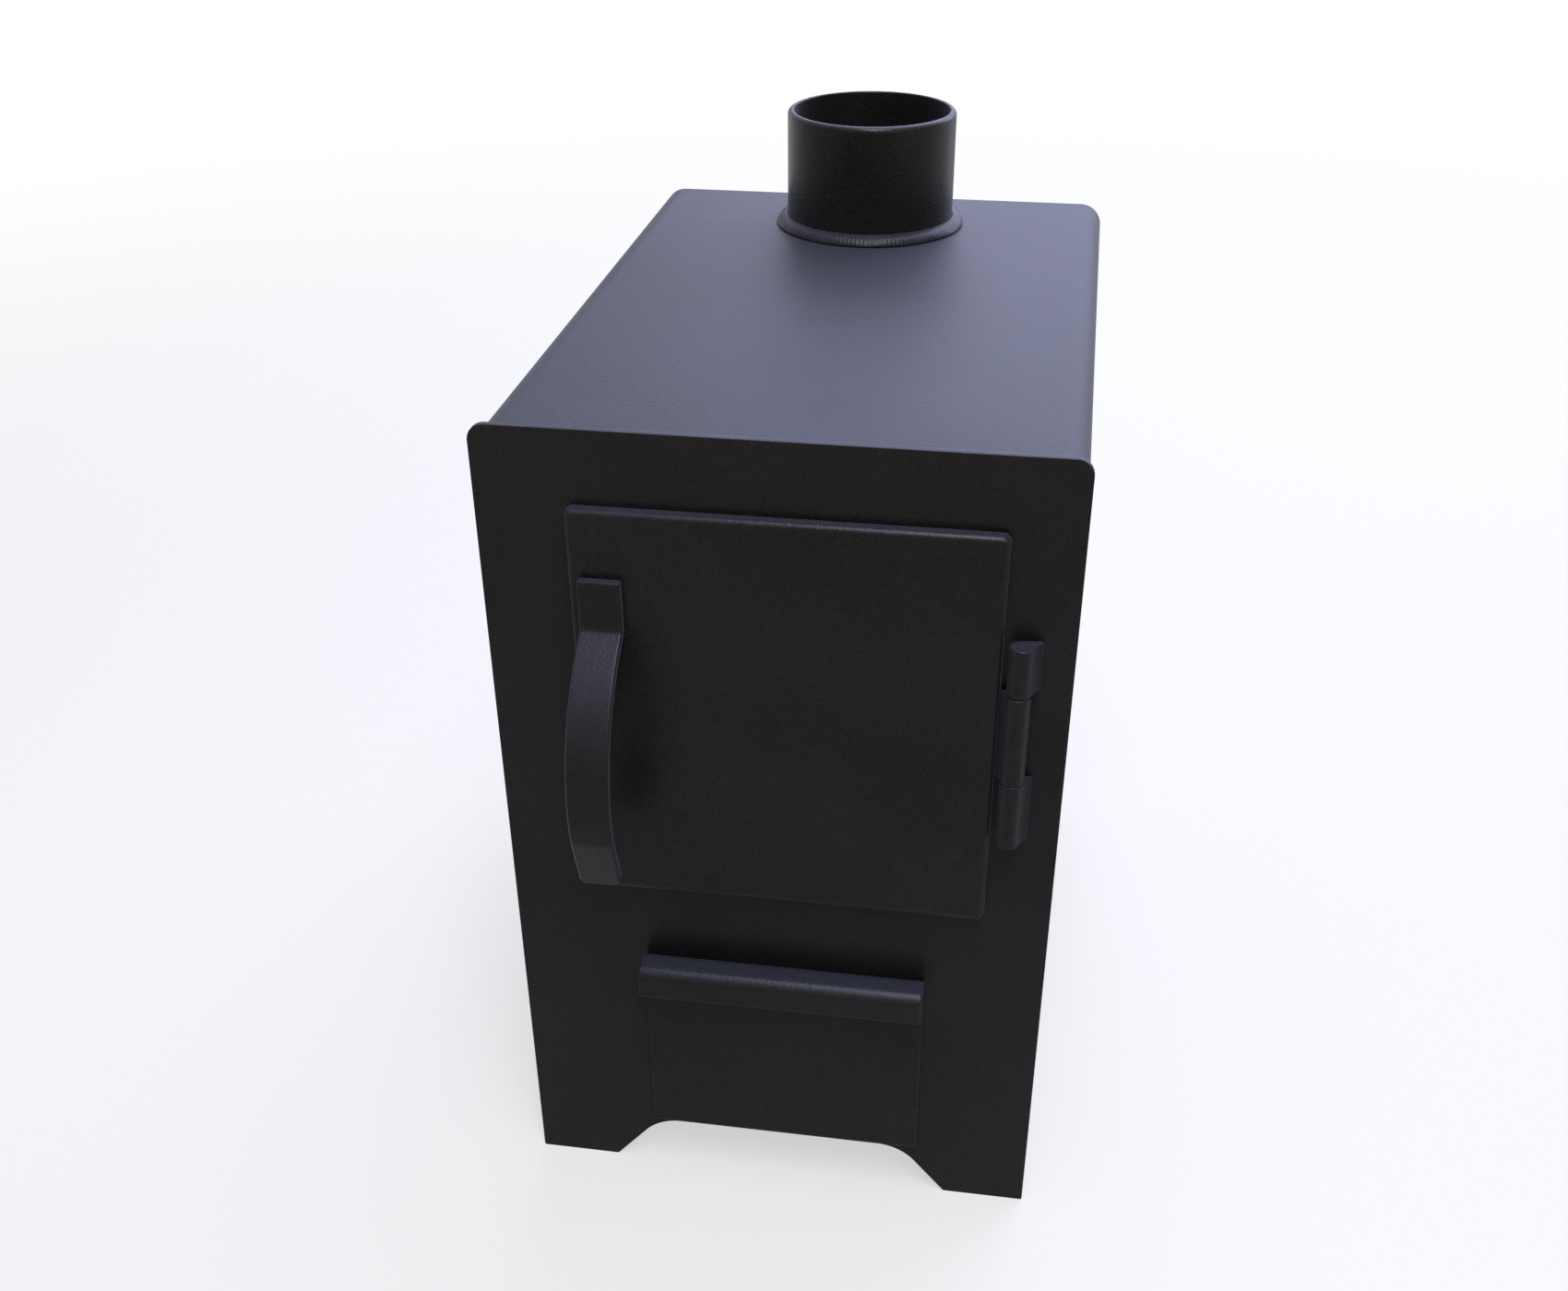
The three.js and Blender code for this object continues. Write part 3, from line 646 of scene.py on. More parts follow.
# A level plate inside the box, with its holes.
def makeDeck(node, values, holes=()):
    low, high = boxOf(node)
    rows = easedRows(high[2] - low[2], values["edge"])
    loops = [(rectanglePath(low[:2], high[:2], values["corner"]), rows)]
    loops += [(hole, rows) for hole in holes]
    return plate(node + "_sheet", loops, lying(high[2]))


fit(makeBackPlate(innerSheets), stovePaint, "stove_paint", "stove", "back_plate")
fit(makeDeck("floor_plate", innerSheets), stovePaint, "stove_paint", "stove", "floor_plate")
fit(makeDeck("baffle_plate", innerSheets), stovePaint, "stove_paint", "stove", "baffle_plate")

grateCast = {
    "flange": 9, "flangeThickness": 4, "clearance": 3, "edge": 1.2, "draft": 0.8, "rest": 0.5,
    "slotsAcross": 9, "slotWidth": 10, "barWidth": 10, "endBar": 12, "middleBar": 14, "corner": 4,
    "bodyCorner": 1,
}
grateLow, grateHigh = boxOf("fire_grate")
bodyLow = grateLow[:2] + grateCast["flange"]
bodyHigh = grateHigh[:2] - grateCast["flange"]
hearthHole = rectanglePath(bodyLow - grateCast["clearance"], bodyHigh + grateCast["clearance"],
                           innerSheets["grateHole"], True)
fit(makeDeck("hearth_plate", innerSheets, [hearthHole]), stovePaint, "stove_paint", "stove", "hearth_plate")


# Cast in one piece: a thin flange round a deeper slab, cut by slots that widen downwards by their draft.
def makeGrate(values):
    depth = grateHigh[2] - grateLow[2]
    edge, flange, thin = values["edge"], values["flange"], values["flangeThickness"]
    flangeRows = easedRows(thin, edge)[:-2]
    foot = flange + edge
    bodyRows = np.array([
        [flange, thin], [flange, depth - edge], [foot, depth], [foot + values["rest"], depth],
    ])
    outline = rectanglePath(grateLow[:2], grateHigh[:2], foot + values["bodyCorner"])
    slotRows = easedRows(depth, edge)
    slotRows[:, 0] -= values["draft"] * slotRows[:, 1] / depth
    loops = [(outline, np.vstack([flangeRows, bodyRows]))]
    pitch = values["slotWidth"] + values["barWidth"]
    centre = (bodyLow + bodyHigh) / 2
    halfLength = (bodyHigh[1] - bodyLow[1]) / 2
    for i in range(values["slotsAcross"]):
        x = centre[0] + (i - (values["slotsAcross"] - 1) / 2) * pitch
        for side in (-1, 1):
            ends = sorted([side * values["middleBar"] / 2, side * (halfLength - values["endBar"])])
            slotLow = (x - values["slotWidth"] / 2, centre[1] + ends[0])
            slotHigh = (x + values["slotWidth"] / 2, centre[1] + ends[1])
            loops.append((rectanglePath(slotLow, slotHigh, values["corner"], True), slotRows))
    return plate("fire_grate_casting", loops, lying(grateHigh[2]))


fit(makeGrate(grateCast), castIron, "cast_grate", "stove", "fire_grate")

angleBar = {"thickness": 3, "heel": 0.9, "root": 1.2, "edge": 0.4}


# An angle bar from front to back: an L-shaped section whose corner lies to the left where sideX is -1 and at
# the bottom where sideZ is -1, and to the right or at the top where they are 1.
def makeAngle(node, sideX, sideZ, values):
    low, high = boxOf(node)
    t = values["thickness"]
    x0, x1 = (low[0], high[0]) if sideX < 0 else (high[0], low[0])
    z0, z1 = (low[2], high[2]) if sideZ < 0 else (high[2], low[2])
    dx, dz = t * np.sign(x1 - x0), t * np.sign(z1 - z0)
    heel, root = values["heel"], values["root"]
    section = [
        (x0, z0, heel), (x1, z0, heel), (x1, z0 + dz, heel),
        (x0 + dx, z0 + dz, root), (x0 + dx, z1, heel), (x0, z1, heel),
    ]
    if dx * dz < 0:
        section = section[::-1]
    return runBack(node + "_bar", [roundedPath(section)], low, high, values["edge"])


for sideName, sideX in (("left", -1), ("right", 1)):
    for shelf, sideZ in (("hearth_ledge_", 1), ("baffle_ledge_", 1), ("drawer_guide_", -1)):
        node = shelf + sideName
        fit(makeAngle(node, sideX, sideZ, angleBar), stovePaint, "stove_paint", "stove", node)
print("box made")

spigotTube = {"wall": 4, "rimOut": 3, "rimIn": 0.9, "foot": 0.5, "rest": 0.5, "count": 128}


# A short tube: its wall's profile turned about the upright axis, its upper rim rounded by quarter circles, a
# large one outside and a small one inside.
def makeSpigot(values):
    low, high = boxOf("flue_spigot")
    centre = (low + high) / 2
    outer = (high[0] - low[0]) / 2
    inner = outer - values["wall"]
    rimOut, rimIn, foot, rest = (values[key] for key in ("rimOut", "rimIn", "foot", "rest"))
    angle = np.linspace(0, quarterTurn, 9)
    drawIn, drop = 1 - np.cos(angle), 1 - np.sin(angle)
    outerRim = np.stack([outer - rimOut * drawIn, high[2] - rimOut * drop], axis=1)
    innerRim = np.stack([inner + rimIn * drop, high[2] - rimIn * drawIn], axis=1)
    profile = np.vstack([
        [outer - foot, low[2]], [outer, low[2] + foot], [outer, low[2] + 2 * foot],
        [outer, high[2] - rimOut - rest], outerRim, innerRim, [inner, high[2] - rimIn - rest],
        [inner, low[2] + 2 * foot], [inner, low[2] + foot], [inner + foot, low[2]],
    ])
    return turned("flue_spigot_tube", profile, (centre[0], centre[1], 0), count=values["count"])


fit(makeSpigot(spigotTube), stovePaint, "stove_paint", "stove", "flue_spigot")

weldRing = {
    "gap": 0.1,  # between the tube and the bead
    "ripplePitch": 2.6, "rippleHeight": 0.25, "rippleLag": 1.6, "rippleSharpness": 0.7,
    "wander": 0.35,
    "wanderWaves": ((5, 1, 1), (11, 2.5, 1), (23, 0, 0.7)),  # waves round the ring, start angle and share
    "steps": 12, "perRipple": 6,
}


# A fillet weld: a quarter ellipse turned round the tube. Each ripple is a crescent, a power of a sine wave
# that lags behind towards the fillet's middle, and the bead's size wanders slowly round the ring.
def makeWeldRing(values):
    low, high = boxOf("flue_weld_bead")
    spigotLow, spigotHigh = boxOf("flue_spigot")
    centre = (low + high) / 2
    inner = (spigotHigh[0] - spigotLow[0]) / 2 + values["gap"]
    width = (high[0] - low[0]) / 2 - inner
    height = high[2] - low[2]
    ripples = round(2 * math.pi * (inner + width / 2) / values["ripplePitch"])
    count = ripples * values["perRipple"]
    theta = np.linspace(0, 2 * math.pi, count, endpoint=False)[None, :]
    arc = np.linspace(0, quarterTurn, values["steps"])[:, None]
    lag = values["rippleLag"] * np.sin(2 * arc)
    crest = np.abs(np.sin((theta * ripples - lag) / 2)) ** values["rippleSharpness"]
    waves = sum(share * np.sin(times * theta + start) for times, start, share in values["wanderWaves"])
    wander = values["wander"] * waves / sum(share for _, _, share in values["wanderWaves"])
    bump = np.sin(2 * arc) * (values["rippleHeight"] * (crest - 1) + wander - values["wander"])
    radius = inner + ((width + bump) * np.cos(arc)).clip(0)
    level = low[2] + ((height + bump) * np.sin(arc)).clip(0)
    radius = np.vstack([radius, np.full((1, count), inner)])
    level = np.vstack([level, np.full((1, count), low[2])])
    x = centre[0] + radius * np.cos(theta)
    y = centre[1] + radius * np.sin(theta)
    points = np.stack([x, y, level], axis=-1).reshape(-1, 3)
    faces = gridFaces(len(radius), count, wrapRows=True, wrapColumns=True)
    return newPiece("flue_weld_ring", points, faces)


fit(makeWeldRing(weldRing), stovePaint, "stove_paint", "stove", "flue_weld_bead")
print("flue made")

doorTray = {"bend": 3.2, "thickness": 3, "corner": 4, "edge": 0.6}


# The door is a folded tray that opens to the back, its face towards the room.
def makeDoorTray(values):
    low, high = boxOf("door_panel")
    outline = rectanglePath(low[[0, 2]], high[[0, 2]], values["corner"])
    rows = trayRows(high[1] - low[1], values["thickness"], values["bend"], values["edge"])
    return plate("door_tray", [(outline, rows)], standing(low[1]))


fit(makeDoorTray(doorTray), stovePaint, "stove_paint", "door", "door_panel")

linerTray = {"bend": 3, "thickness": 2, "corner": 5, "edge": 0.4, "studHole": 3.3, "holeEdge": 0.2,
             "holeCount": 24}
studNumbers = (1, 2, 3, 4)


# A second, shallower tray that faces the fire, so its rows run forwards from its back.
def makeLiner(values):
    low, high = boxOf("door_liner")
    outline = rectanglePath(low[[0, 2]], high[[0, 2]], values["corner"])
    t = values["thickness"]
    loops = [(outline, trayRows(high[1] - low[1], t, values["bend"], values["edge"]))]
    for i in studNumbers:
        studLow, studHigh = boxOf(f"liner_stud_{i}")
        spot = ((studLow + studHigh) / 2)[[0, 2]]
        hole = roundHole(spot, values["studHole"], values["holeCount"])
        loops.append((hole, easedRows(t, values["holeEdge"], values["holeEdge"] / 2)))
    return plate("door_liner_tray", loops, lambda a, b, depth: (a, high[1] - depth, b))


fit(makeLiner(linerTray), stovePaint, "stove_paint", "door", "door_liner")

ropeSeal = {"strandPitch": 5, "strandHeight": 0.35, "strands": 4, "gap": 0.2, "cornerRadius": 7,
            "perPitch": 6, "round": 20}


# A braided rope laid round a rectangle: an oval section carried along the path, and raised where two families
# of strands that wind opposite ways cross, each a sine of the way along plus or minus the way round.
def makeSeal(values):
    low, high = boxOf("door_seal")
    linerLow, linerHigh = boxOf("door_liner")
    halfWide = (linerLow[0] - low[0]) / 2 - values["gap"]
    halfDeep = (high[1] - low[1]) / 2
    inset = halfWide + values["gap"] / 2
    middle = rectanglePath(low[[0, 2]] + inset, high[[0, 2]] - inset, values["cornerRadius"])[0]
    ring = np.vstack([middle, middle[:1]])
    along = np.concatenate([[0], np.cumsum(np.linalg.norm(np.diff(ring, axis=0), axis=1))])
    turns = round(along[-1] / values["strandPitch"])
    count = turns * values["perPitch"]
    place = np.linspace(0, along[-1], count, endpoint=False)
    line = np.stack([np.interp(place, along, ring[:, k]) for k in (0, 1)], axis=1)
    way = np.roll(line, -1, axis=0) - np.roll(line, 1, axis=0)
    way /= np.linalg.norm(way, axis=1)[:, None]
    side = np.stack([way[:, 1], -way[:, 0]], axis=1)[:, None, :]
    angle = np.linspace(0, 2 * math.pi, values["round"], endpoint=False)[None, :]
    phase = 2 * math.pi * turns * (place / along[-1])[:, None]
    winding = values["strands"] * angle
    weave = np.abs(np.sin((phase + winding) / 2) * np.sin((phase - winding) / 2))
    drop = values["strandHeight"] * (weave - 1)
    wide = (halfWide + drop) * np.cos(angle)
    deep = (halfDeep + drop) * np.sin(angle)
    flat = line[:, None, :] + side * wide[:, :, None]
    y = (low[1] + high[1]) / 2 + deep
    points = np.stack([flat[:, :, 0], y, flat[:, :, 1]], axis=-1).reshape(-1, 3)
    faces = gridFaces(count, values["round"], wrapRows=True, wrapColumns=True)
    return newPiece("door_seal_rope", points, faces)


fit(makeSeal(ropeSeal), glassRope, "seal_rope", "door", "door_seal")

fastener = {
    "pitch": 1, "threadDepth": 0.31, "lead": 0.7, "perTurn": 24, "perPitch": 6,
    "acrossFlats": 10, "bore": 3.2, "chamfer": 0.55, "faceCut": 0.15,
    "around": 72, "levels": (0, 0.2, 0.55, 0.9),  # heights from either face
}


# A threaded stud: radius = thread crest - depth * a triangle wave of (length / pitch - angle). At both ends
# the thread fades and the radius draws in by the lead.
def makeStud(i, values):
    low, high = boxOf(f"liner_stud_{i}")
    length = high[1] - low[1]
    rows = int(length / values["pitch"] * values["perPitch"]) + 1
    place = np.linspace(0, length, rows)
    crest = (high[0] - low[0]) / 2
    fade = np.clip(np.minimum(place, length - place) / values["pitch"], 0, 1)[:, None]
    lead = values["lead"] * (1 - fade)

    def thread(angle, part):
        wave = np.abs(2 * ((part * length / values["pitch"] - angle / (2 * math.pi)) % 1) - 1)
        return -values["threadDepth"] * wave * 2 * fade - lead

    profile = np.stack([np.full(rows, crest), low[1] + place], axis=1)
    centre = (low + high) / 2
    return turned(f"liner_stud_{i}_thread", profile, (centre[0], 0, centre[2]), "y",
                  values["perTurn"], thread, closed=False)


# A hexagon nut: each radius is the smaller of the hexagon's at that angle and a cone's that cuts its corners.
def makeNut(i, values):
    low, high = boxOf(f"liner_nut_{i}")
    flat = values["acrossFlats"] / 2
    corner = flat / math.cos(math.pi / 6)
    height, count = high[1] - low[1], values["around"]
    angle = np.linspace(0, 2 * math.pi, count, endpoint=False)[None, :]
    fromFace = np.array(values["levels"])
    levels = np.concatenate([fromFace, height - fromFace[::-1]])[:, None]
    toEnd = np.minimum(levels, height - levels)
    hexagon = flat / np.cos((angle + math.pi / 6) % (math.pi / 3) - math.pi / 6)
    coneFoot = flat - values["faceCut"]
    cone = coneFoot + toEnd * (corner - coneFoot) / values["chamfer"]
    outside = np.minimum(hexagon, cone)
    radius = np.vstack([outside, np.full((2, count), values["bore"])])
    level = np.vstack([levels + 0 * angle, np.full((1, count), height), np.zeros((1, count))])
    centre = (low + high) / 2
    x, z = centre[0] + radius * np.cos(angle), centre[2] + radius * np.sin(angle)
    points = np.stack([x, low[1] + level, z], axis=-1).reshape(-1, 3)
    faces = gridFaces(len(radius), count, wrapRows=True, wrapColumns=True)
    nut = newPiece(f"liner_nut_{i}_hex", points, faces)
    nut.data.shade_flat()
    return nut


for i in studNumbers:
    fit(makeStud(i, fastener), zincSteel, "bare_steel", "door", f"liner_stud_{i}")
    fit(makeNut(i, fastener), zincSteel, "bare_steel", "door", f"liner_nut_{i}")

# Corners of the strap's middle line from its upper end down: how far off the door and how far below the
# door's top edge, and the bend's radius.
strapHandle = {
    "corners": [(0, 36, 0), (0, 65, 7), (55, 102, 90), (46, 165, 10), (34, 199, 0)],
    "thickness": 5.5, "gap": 0.3, "edge": 1.2, "endCorner": 5, "rest": 0.3,
    "chordTurn": 0.08, "step": 1.5, "firstStep": 0.4,
    "endShare": 0.4,  # of the edge's rounding, on which the last rows stand
}


# A flat strap carried along a bent path: at each row a rounded rectangle stands square to the path. Near the
# lower end its half width follows a circle, and at the very ends the whole section draws in, again by a
# circle, round the cut edge.
def makeHandle(values):
    low, high = boxOf("door_handle")
    doorLow, doorHigh = boxOf("door_panel")
    half = values["thickness"] / 2
    footY = doorLow[1] - values["gap"] - half
    corners = [(footY - out, doorHigh[2] - down, r) for out, down, r in values["corners"]]
    path, normals = roundedPath(corners, closed=False, step=values["chordTurn"])
    along = np.concatenate([[0], np.cumsum(np.linalg.norm(np.diff(path, axis=0), axis=1))])
    length, edge, corner = along[-1], values["edge"], values["endCorner"]
    roundIn = edge * (1 - np.sin(np.linspace(0, quarterTurn, 6)))
    tail = corner * (1 - np.sin(np.linspace(0, quarterTurn, 9)))[:-1]
    between = np.arange(edge + values["firstStep"], length - corner, values["step"])
    place = np.concatenate([roundIn, between, length - tail, length - roundIn[1:] * values["endShare"]])
    place = np.unique(np.round(place, 4))
    line = np.stack([np.interp(place, along, path[:, k]) for k in (0, 1)], axis=1)
    normal = np.stack([np.interp(place, along, normals[:, k]) for k in (0, 1)], axis=1)
    normal /= np.linalg.norm(normal, axis=1)[:, None]

    def fallBack(distance, radius):
        return radius - np.sqrt(radius**2 - (radius - np.clip(distance, 0, radius)) ** 2)

    toEnd = length - place
    ring = (edge - fallBack(np.minimum(place, toEnd), edge))[:, None, None]
    halfWidth = ((high[0] - low[0]) / 2 - edge - fallBack(toEnd, corner))[:, None, None]
    halfThick = half - edge
    # the section's four corners, each an arc with a rest on the flats before and after it
    signs = np.array([(1, 1), (-1, 1), (-1, -1), (1, -1)])[:, :, None]
    arc = np.linspace(0, quarterTurn, 5)
    angle = np.arange(4)[:, None] * quarterTurn + np.concatenate([arc[:1], arc, arc[-1:]])
    ahead = np.zeros_like(angle)
    ahead[:, [0, -1]] = -values["rest"], values["rest"]
    across = signs[:, 0] * halfWidth + np.cos(angle) * ring - np.sin(angle) * ahead
    through = signs[:, 1] * halfThick + np.sin(angle) * ring + np.cos(angle) * ahead
    across, through = (part.reshape(len(place), -1) for part in (across, through))
    x = (low[0] + high[0]) / 2 + across
    y = line[:, 0, None] + normal[:, 0, None] * through
    z = line[:, 1, None] + normal[:, 1, None] * through
    rows, columns = x.shape
    faces = gridFaces(rows, columns, wrapColumns=True)
    faces += [list(range(columns)), list(range((rows - 1) * columns, rows * columns))]
    return newPiece("door_handle_strap", np.stack([x, y, z], axis=-1).reshape(-1, 3), faces)


fit(makeHandle(strapHandle), stovePaint, "stove_paint", "door", "door_handle")
print("door made")

knuckleBar = {"radius": 6.3, "tip": 1.5, "edge": 0.9, "tail": 9, "seam": 0.3,
              "bore": 3.3, "boreEdge": 0.3, "boreCount": 32, "endWall": 4}


# The outline of a drop: a large arc and a small one joined by the two straight lines that touch both.
def dropPath(centre, radius, tip, tipRadius, counts=(40, 10)):
    centre, tip = np.array(centre, float), np.array(tip, float)
    toTip = math.atan2(*(tip - centre)[::-1])
    touch = math.acos((radius - tipRadius) / np.linalg.norm(tip - centre))
    large = np.linspace(toTip + touch, toTip - touch + 2 * math.pi, counts[0])
    small = np.linspace(toTip - touch, toTip + touch, counts[1])
    normals = np.vstack([np.stack([np.cos(a), np.sin(a)], axis=1) for a in (large, small)])
    points = normals * np.repeat([radius, tipRadius], counts)[:, None]
    return points + np.repeat([centre, tip], counts, axis=0), normals


# A knuckle: a drop-shaped bar. The middle one is bored through, and the outer two from the end that meets it
# up to their end wall.
def makeKnuckle(node, tip, boreFrom, values):
    low, high = boxOf(node)
    pinLow, pinHigh = boxOf("hinge_pin")
    axis = ((pinLow + pinHigh) / 2)[:2]
    length = high[2] - low[2]
    outline = (dropPath(axis, values["radius"], tip, values["tip"]), easedRows(length, values["edge"]))
    bore = roundHole(axis, values["bore"], values["boreCount"])
    rows = easedRows(length, values["boreEdge"])
    if boreFrom == "both":
        return plate(node + "_bar", [outline, (bore, rows)], upFrom(low[2]))
    blindRows = np.vstack([rows[: len(rows) // 2], [[0, length - values["endWall"]]]])
    place = lying(high[2]) if boreFrom == "top" else upFrom(low[2])
    return plate(node + "_bar", [outline, (bore, blindRows, "blind")], place)


plateFront = boxOf("front_plate")[0][1]
doorLow, doorHigh = boxOf("door_panel")
pinCentre = (boxOf("hinge_pin")[0] + boxOf("hinge_pin")[1]) / 2
tipOff = knuckleBar["tip"] + knuckleBar["seam"]
fixedTip = (pinCentre[0] + knuckleBar["tail"], plateFront - tipOff)
doorTip = (doorHigh[0] + tipOff, (doorLow[1] + plateFront) / 2)
for node, tip, boreFrom, body in (
    ("hinge_knuckle_bottom", fixedTip, "top", "stove"),
    ("hinge_knuckle_middle", doorTip, "both", "door"),
    ("hinge_knuckle_top", fixedTip, "bottom", "stove"),
):
    fit(makeKnuckle(node, tip, boreFrom, knuckleBar), stovePaint, "stove_paint", body, node)

# the pin's own shape is right, so its node stays
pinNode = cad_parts["hinge_pin"]
pinNode.data.materials.clear()
pinNode.data.materials.append(zincSteel)
print("hinge made")

drawerSheet = {"thickness": 3, "bend": 7, "lipDown": 19, "edge": 0.5, "cutCorner": 0.9}


# One sheet whose top folds out and turns down: a section of even thickness run from left to right.
def makeDrawerFront(values):
    low, high = boxOf("ash_drawer_front")
    t, bend, cut = values["thickness"], values["bend"], values["cutCorner"]
    back, out, top, bottom = high[1], low[1], high[2], low[2]
    lip = top - values["lipDown"]
    section = [
        (back, bottom, cut), (back, top, bend), (out, top, bend), (out, lip, cut), (out + t, lip, cut),
        (out + t, top - t, bend - t), (back - t, top - t, bend - t), (back - t, bottom, cut),
    ]
    rows = easedRows(high[0] - low[0], values["edge"])
    return plate("ash_drawer_front_sheet", [(roundedPath(section), rows)], acrossFrom(low[0]))


fit(makeDrawerFront(drawerSheet), stovePaint, "stove_paint", "ash_drawer", "ash_drawer_front")

panSheet = {"thickness": 2, "bend": 4, "edge": 0.35, "cutCorner": 0.7, "endCorner": 1.7}


# The pan's trough: a U of even thickness run from front to back.
def makeTrough(values):
    low, high = boxOf("ash_pan_trough")
    t, bend, cut = values["thickness"], values["bend"], values["cutCorner"]
    section = [
        (low[0], low[2], bend), (high[0], low[2], bend), (high[0], high[2], cut), (high[0] - t, high[2], cut),
        (high[0] - t, low[2] + t, bend - t), (low[0] + t, low[2] + t, bend - t), (low[0] + t, high[2], cut),
        (low[0], high[2], cut),
    ]
    return runBack("ash_pan_trough_sheet", [roundedPath(section)], low, high, values["edge"])


# A flat plate that closes an end of the trough.
def makePanEnd(node, values):
    low, high = boxOf(node)
    outline = rectanglePath(low[[0, 2]], high[[0, 2]], values["endCorner"])
    return runBack(node + "_sheet", [outline], low, high, values["edge"])


fit(makeTrough(panSheet), galvanised, "pan_steel", "ash_drawer", "ash_pan_trough")
for node in ("ash_pan_front_end", "ash_pan_back_end"):
    fit(makePanEnd(node, panSheet), galvanised, "pan_steel", "ash_drawer", node)
print("ash drawer made")

# The floor's glow is what the camera and mirrors see added to it, so that it reads as a white sheet. It grows
# to plain white between two distances from the stove, so that the sheet has no end.
studio = {"floor": "#B4B3B0", "floorSize": 16000, "glow": 0.6, "glowFrom": 600, "glowTo": 2800,
          "ambient": 0.35}
white = (1, 1, 1, 1)


# The sheet that the stove stands on: pale and matt, and white to the camera as its glow grows.
def makeFloor(values):
    half = values["floorSize"] / 2
    material, tree = newMaterial("paleFloor")
    sheet = addNode(tree, "ShaderNodeBsdfDiffuse", {"Color": linear(values["floor"])})
    light = addNode(tree, "ShaderNodeEmission", {"Color": white, "Strength": 1.0})
    path = addNode(tree, "ShaderNodeLightPath")
    seen = addNode(
        tree, "ShaderNodeMath",
        {"operation": "MAXIMUM"},
        {0: path.outputs["Is Camera Ray"], 1: path.outputs["Is Glossy Ray"]},
    )
    place = addNode(tree, "ShaderNodeTexCoord").outputs["Object"]
    away = addNode(tree, "ShaderNodeVectorMath", {"operation": "LENGTH"}, {0: place})
    glow = addNode(
        tree, "ShaderNodeMapRange",
        {
            "interpolation_type": "SMOOTHSTEP",
            "From Min": values["glowFrom"] * mm, "From Max": values["glowTo"] * mm,
            "To Min": values["glow"], "To Max": 1.0,
        },
        {"Value": away.outputs["Value"]},
    )
    share = addNode(
        tree, "ShaderNodeMath",
        {"operation": "MULTIPLY"},
        {0: seen.outputs[0], 1: glow.outputs[0]},
    )
    shader = addNode(
        tree, "ShaderNodeMixShader",
        links={0: share.outputs[0], 1: sheet.outputs[0], 2: light.outputs[0]},
    )
    addNode(tree, "ShaderNodeOutputMaterial", links={"Surface": shader.outputs[0]})
    corners = [(-half, -half, 0), (half, -half, 0), (half, half, 0), (-half, half, 0)]
    floor = newPiece("floor", corners, [[0, 1, 2, 3]])
    floor.data.materials.append(material)


# The world is plain white to the camera, mirrors and glass, and lights the stove at the ambient strength.
def makeWorld(values):
    world = bpy.data.worlds.new("studio")
    world.use_nodes = True
    tree = world.node_tree
    tree.nodes.clear()
    path = addNode(tree, "ShaderNodeLightPath")
    seen = path.outputs["Is Camera Ray"]
    for ray in ("Is Glossy Ray", "Is Transmission Ray"):
        seen = addNode(
            tree, "ShaderNodeMath",
            {"operation": "MAXIMUM"},
            {0: seen, 1: path.outputs[ray]},
        ).outputs[0]
    strength = addNode(
        tree, "ShaderNodeMapRange",
        {"To Min": values["ambient"], "To Max": 1.0},
        {"Value": seen},
    )
    background = addNode(
        tree, "ShaderNodeBackground",
        {"Color": white},
        {"Strength": strength.outputs[0]},
    )
    addNode(tree, "ShaderNodeOutputWorld", links={"Surface": background.outputs[0]})
    bpy.context.scene.world = world


makeFloor(studio)
makeWorld(studio)

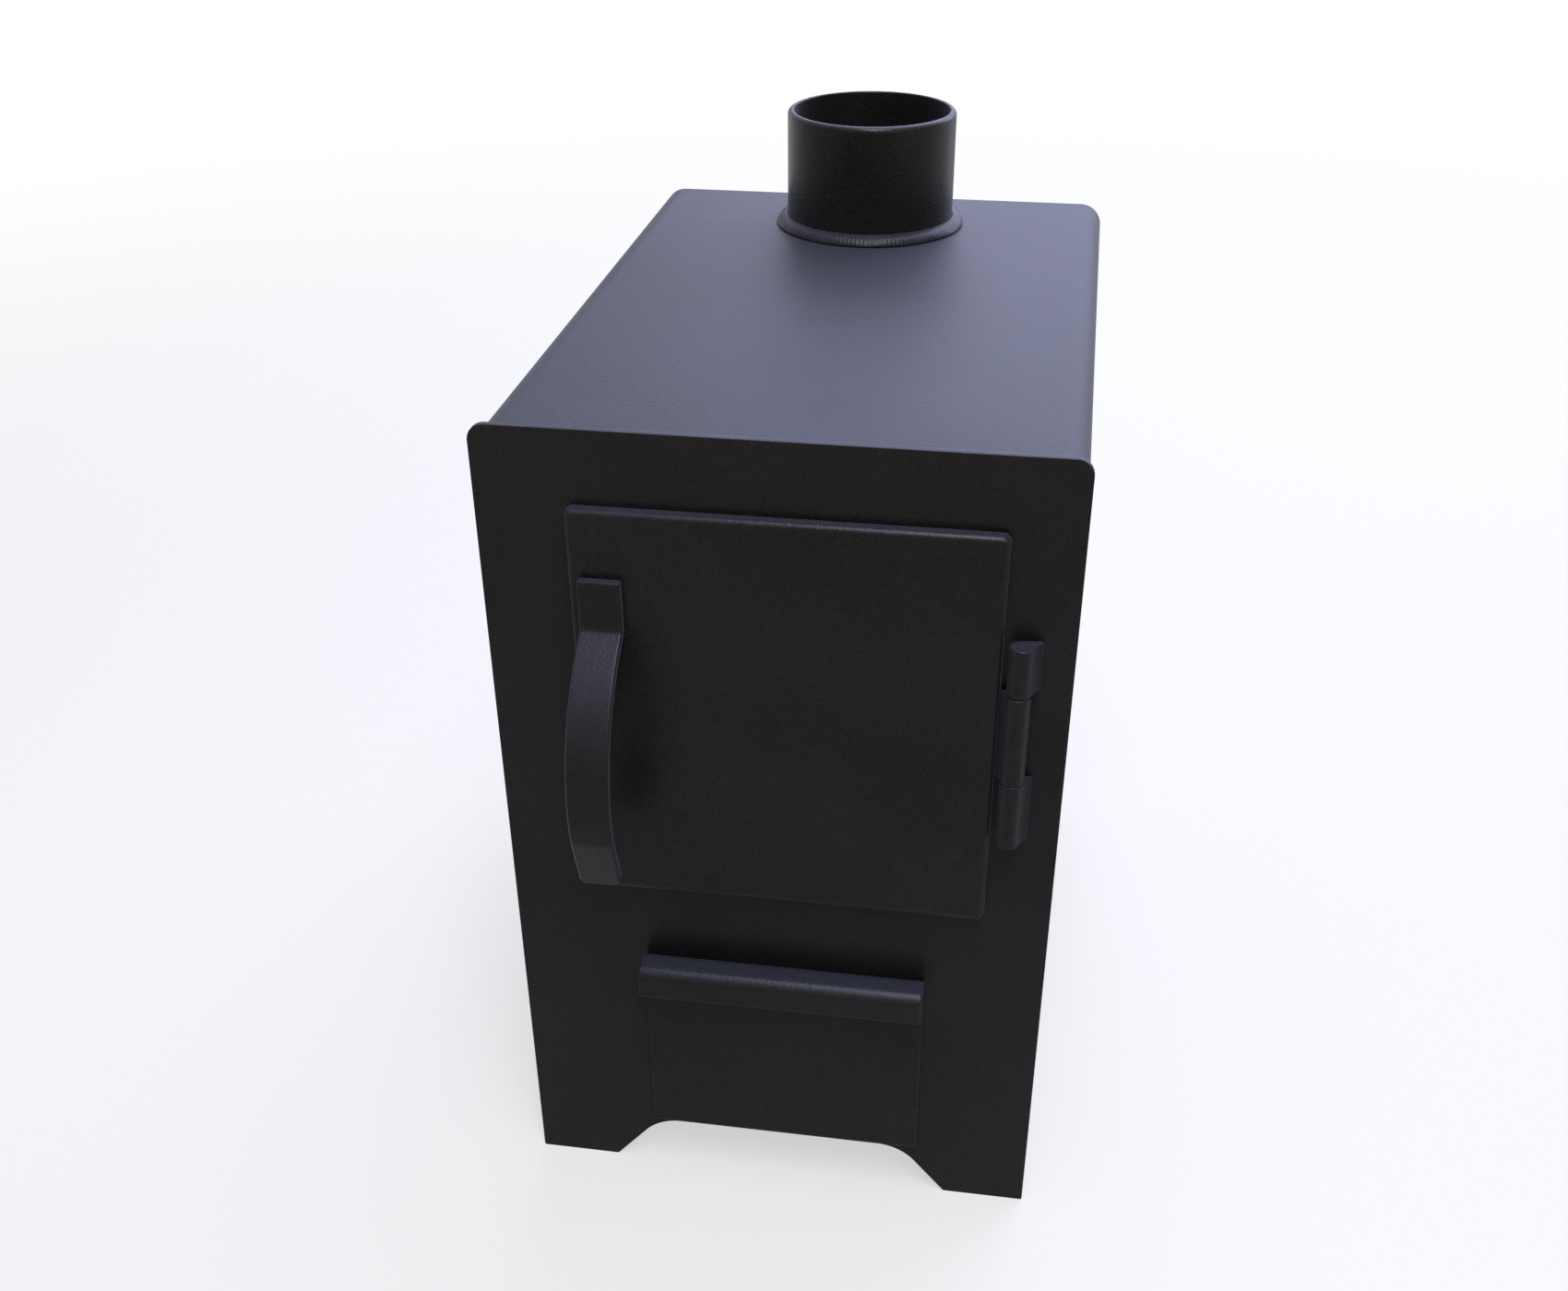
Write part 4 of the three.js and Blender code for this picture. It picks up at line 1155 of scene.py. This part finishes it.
softboxes = {
    # behind the stove, for the soft sheen of its top
    "skyBox": {
        "at": (700, 2000, 1500), "aim": (0, 0, 350), "size": (3000, 1700),
        "radiance": 5.4, "tint": "#D0D6FF",
    },
    "upper": {
        "at": (300, 800, 2500), "aim": (0, 0, 400), "size": (1800, 1500),
        "radiance": 4.8, "tint": "#DCE1FF",
    },
    # above the front, for the lit ridges of door, handle and drawer
    "overhead": {
        "at": (250, -950, 2350), "aim": (0, -100, 350), "size": (600, 1800),
        "radiance": 21.0, "tint": "#F0F1FF",
    },
    "rightFill": {
        "at": (1600, -2100, 1700), "aim": (0, 0, 350), "size": (1600, 1600),
        "radiance": 1.2, "tint": "#FFF8F2",
    },
}


# An area lamp whose face has the given radiance: its power is radiance * pi * area.
def makeSoftbox(name, values):
    wide, high = (v * mm for v in values["size"])
    lamp = bpy.data.lights.new(name, "AREA")
    lamp.shape = "RECTANGLE"
    lamp.size, lamp.size_y = wide, high
    lamp.energy = values["radiance"] * math.pi * wide * high
    lamp.color = linear(values["tint"])[:3]
    box = bpy.data.objects.new(name, lamp)
    bpy.context.scene.collection.objects.link(box)
    at, aim = Vector(values["at"]) * mm, Vector(values["aim"]) * mm
    box.location = at
    box.rotation_euler = (aim - at).to_track_quat("-Z", "Y").to_euler()


for name, values in softboxes.items():
    makeSoftbox(name, values)

# The view: where the lens is, how far it is turned, tipped down and rolled, in degrees, its focal length and
# sensor in millimetres, and how far the frame is shifted up, as a share of its width.
photoView = {
    "at": (132.2, -964.9, 808.6), "turn": 9.397, "down": 33.627, "roll": -0.292,
    "lens": 39.795, "sensor": 36, "shiftUp": 0.0938, "farthest": 50000,
}


def makeCamera(values):
    turn, down, roll = (math.radians(values[k]) for k in ("turn", "down", "roll"))
    forward = Vector((-math.sin(turn) * math.cos(down), math.cos(turn) * math.cos(down), -math.sin(down)))
    level = Vector((math.cos(turn), math.sin(turn), 0))
    up = level.cross(forward)
    right = level * math.cos(roll) + up * math.sin(roll)
    up = right.cross(forward)
    data = bpy.data.cameras.new("photoCamera")
    data.sensor_width = values["sensor"]
    data.lens = values["lens"]
    data.shift_y = values["shiftUp"]
    data.clip_end = values["farthest"] * mm
    camera = bpy.data.objects.new("photoCamera", data)
    bpy.context.scene.collection.objects.link(camera)
    pose = Matrix((right, up, -forward)).transposed().to_4x4()
    pose.translation = Vector(values["at"]) * mm
    camera.matrix_world = pose
    bpy.context.scene.camera = camera


makeCamera(photoView)
bpy.context.scene.view_settings.view_transform = "Standard"
print("studio made")
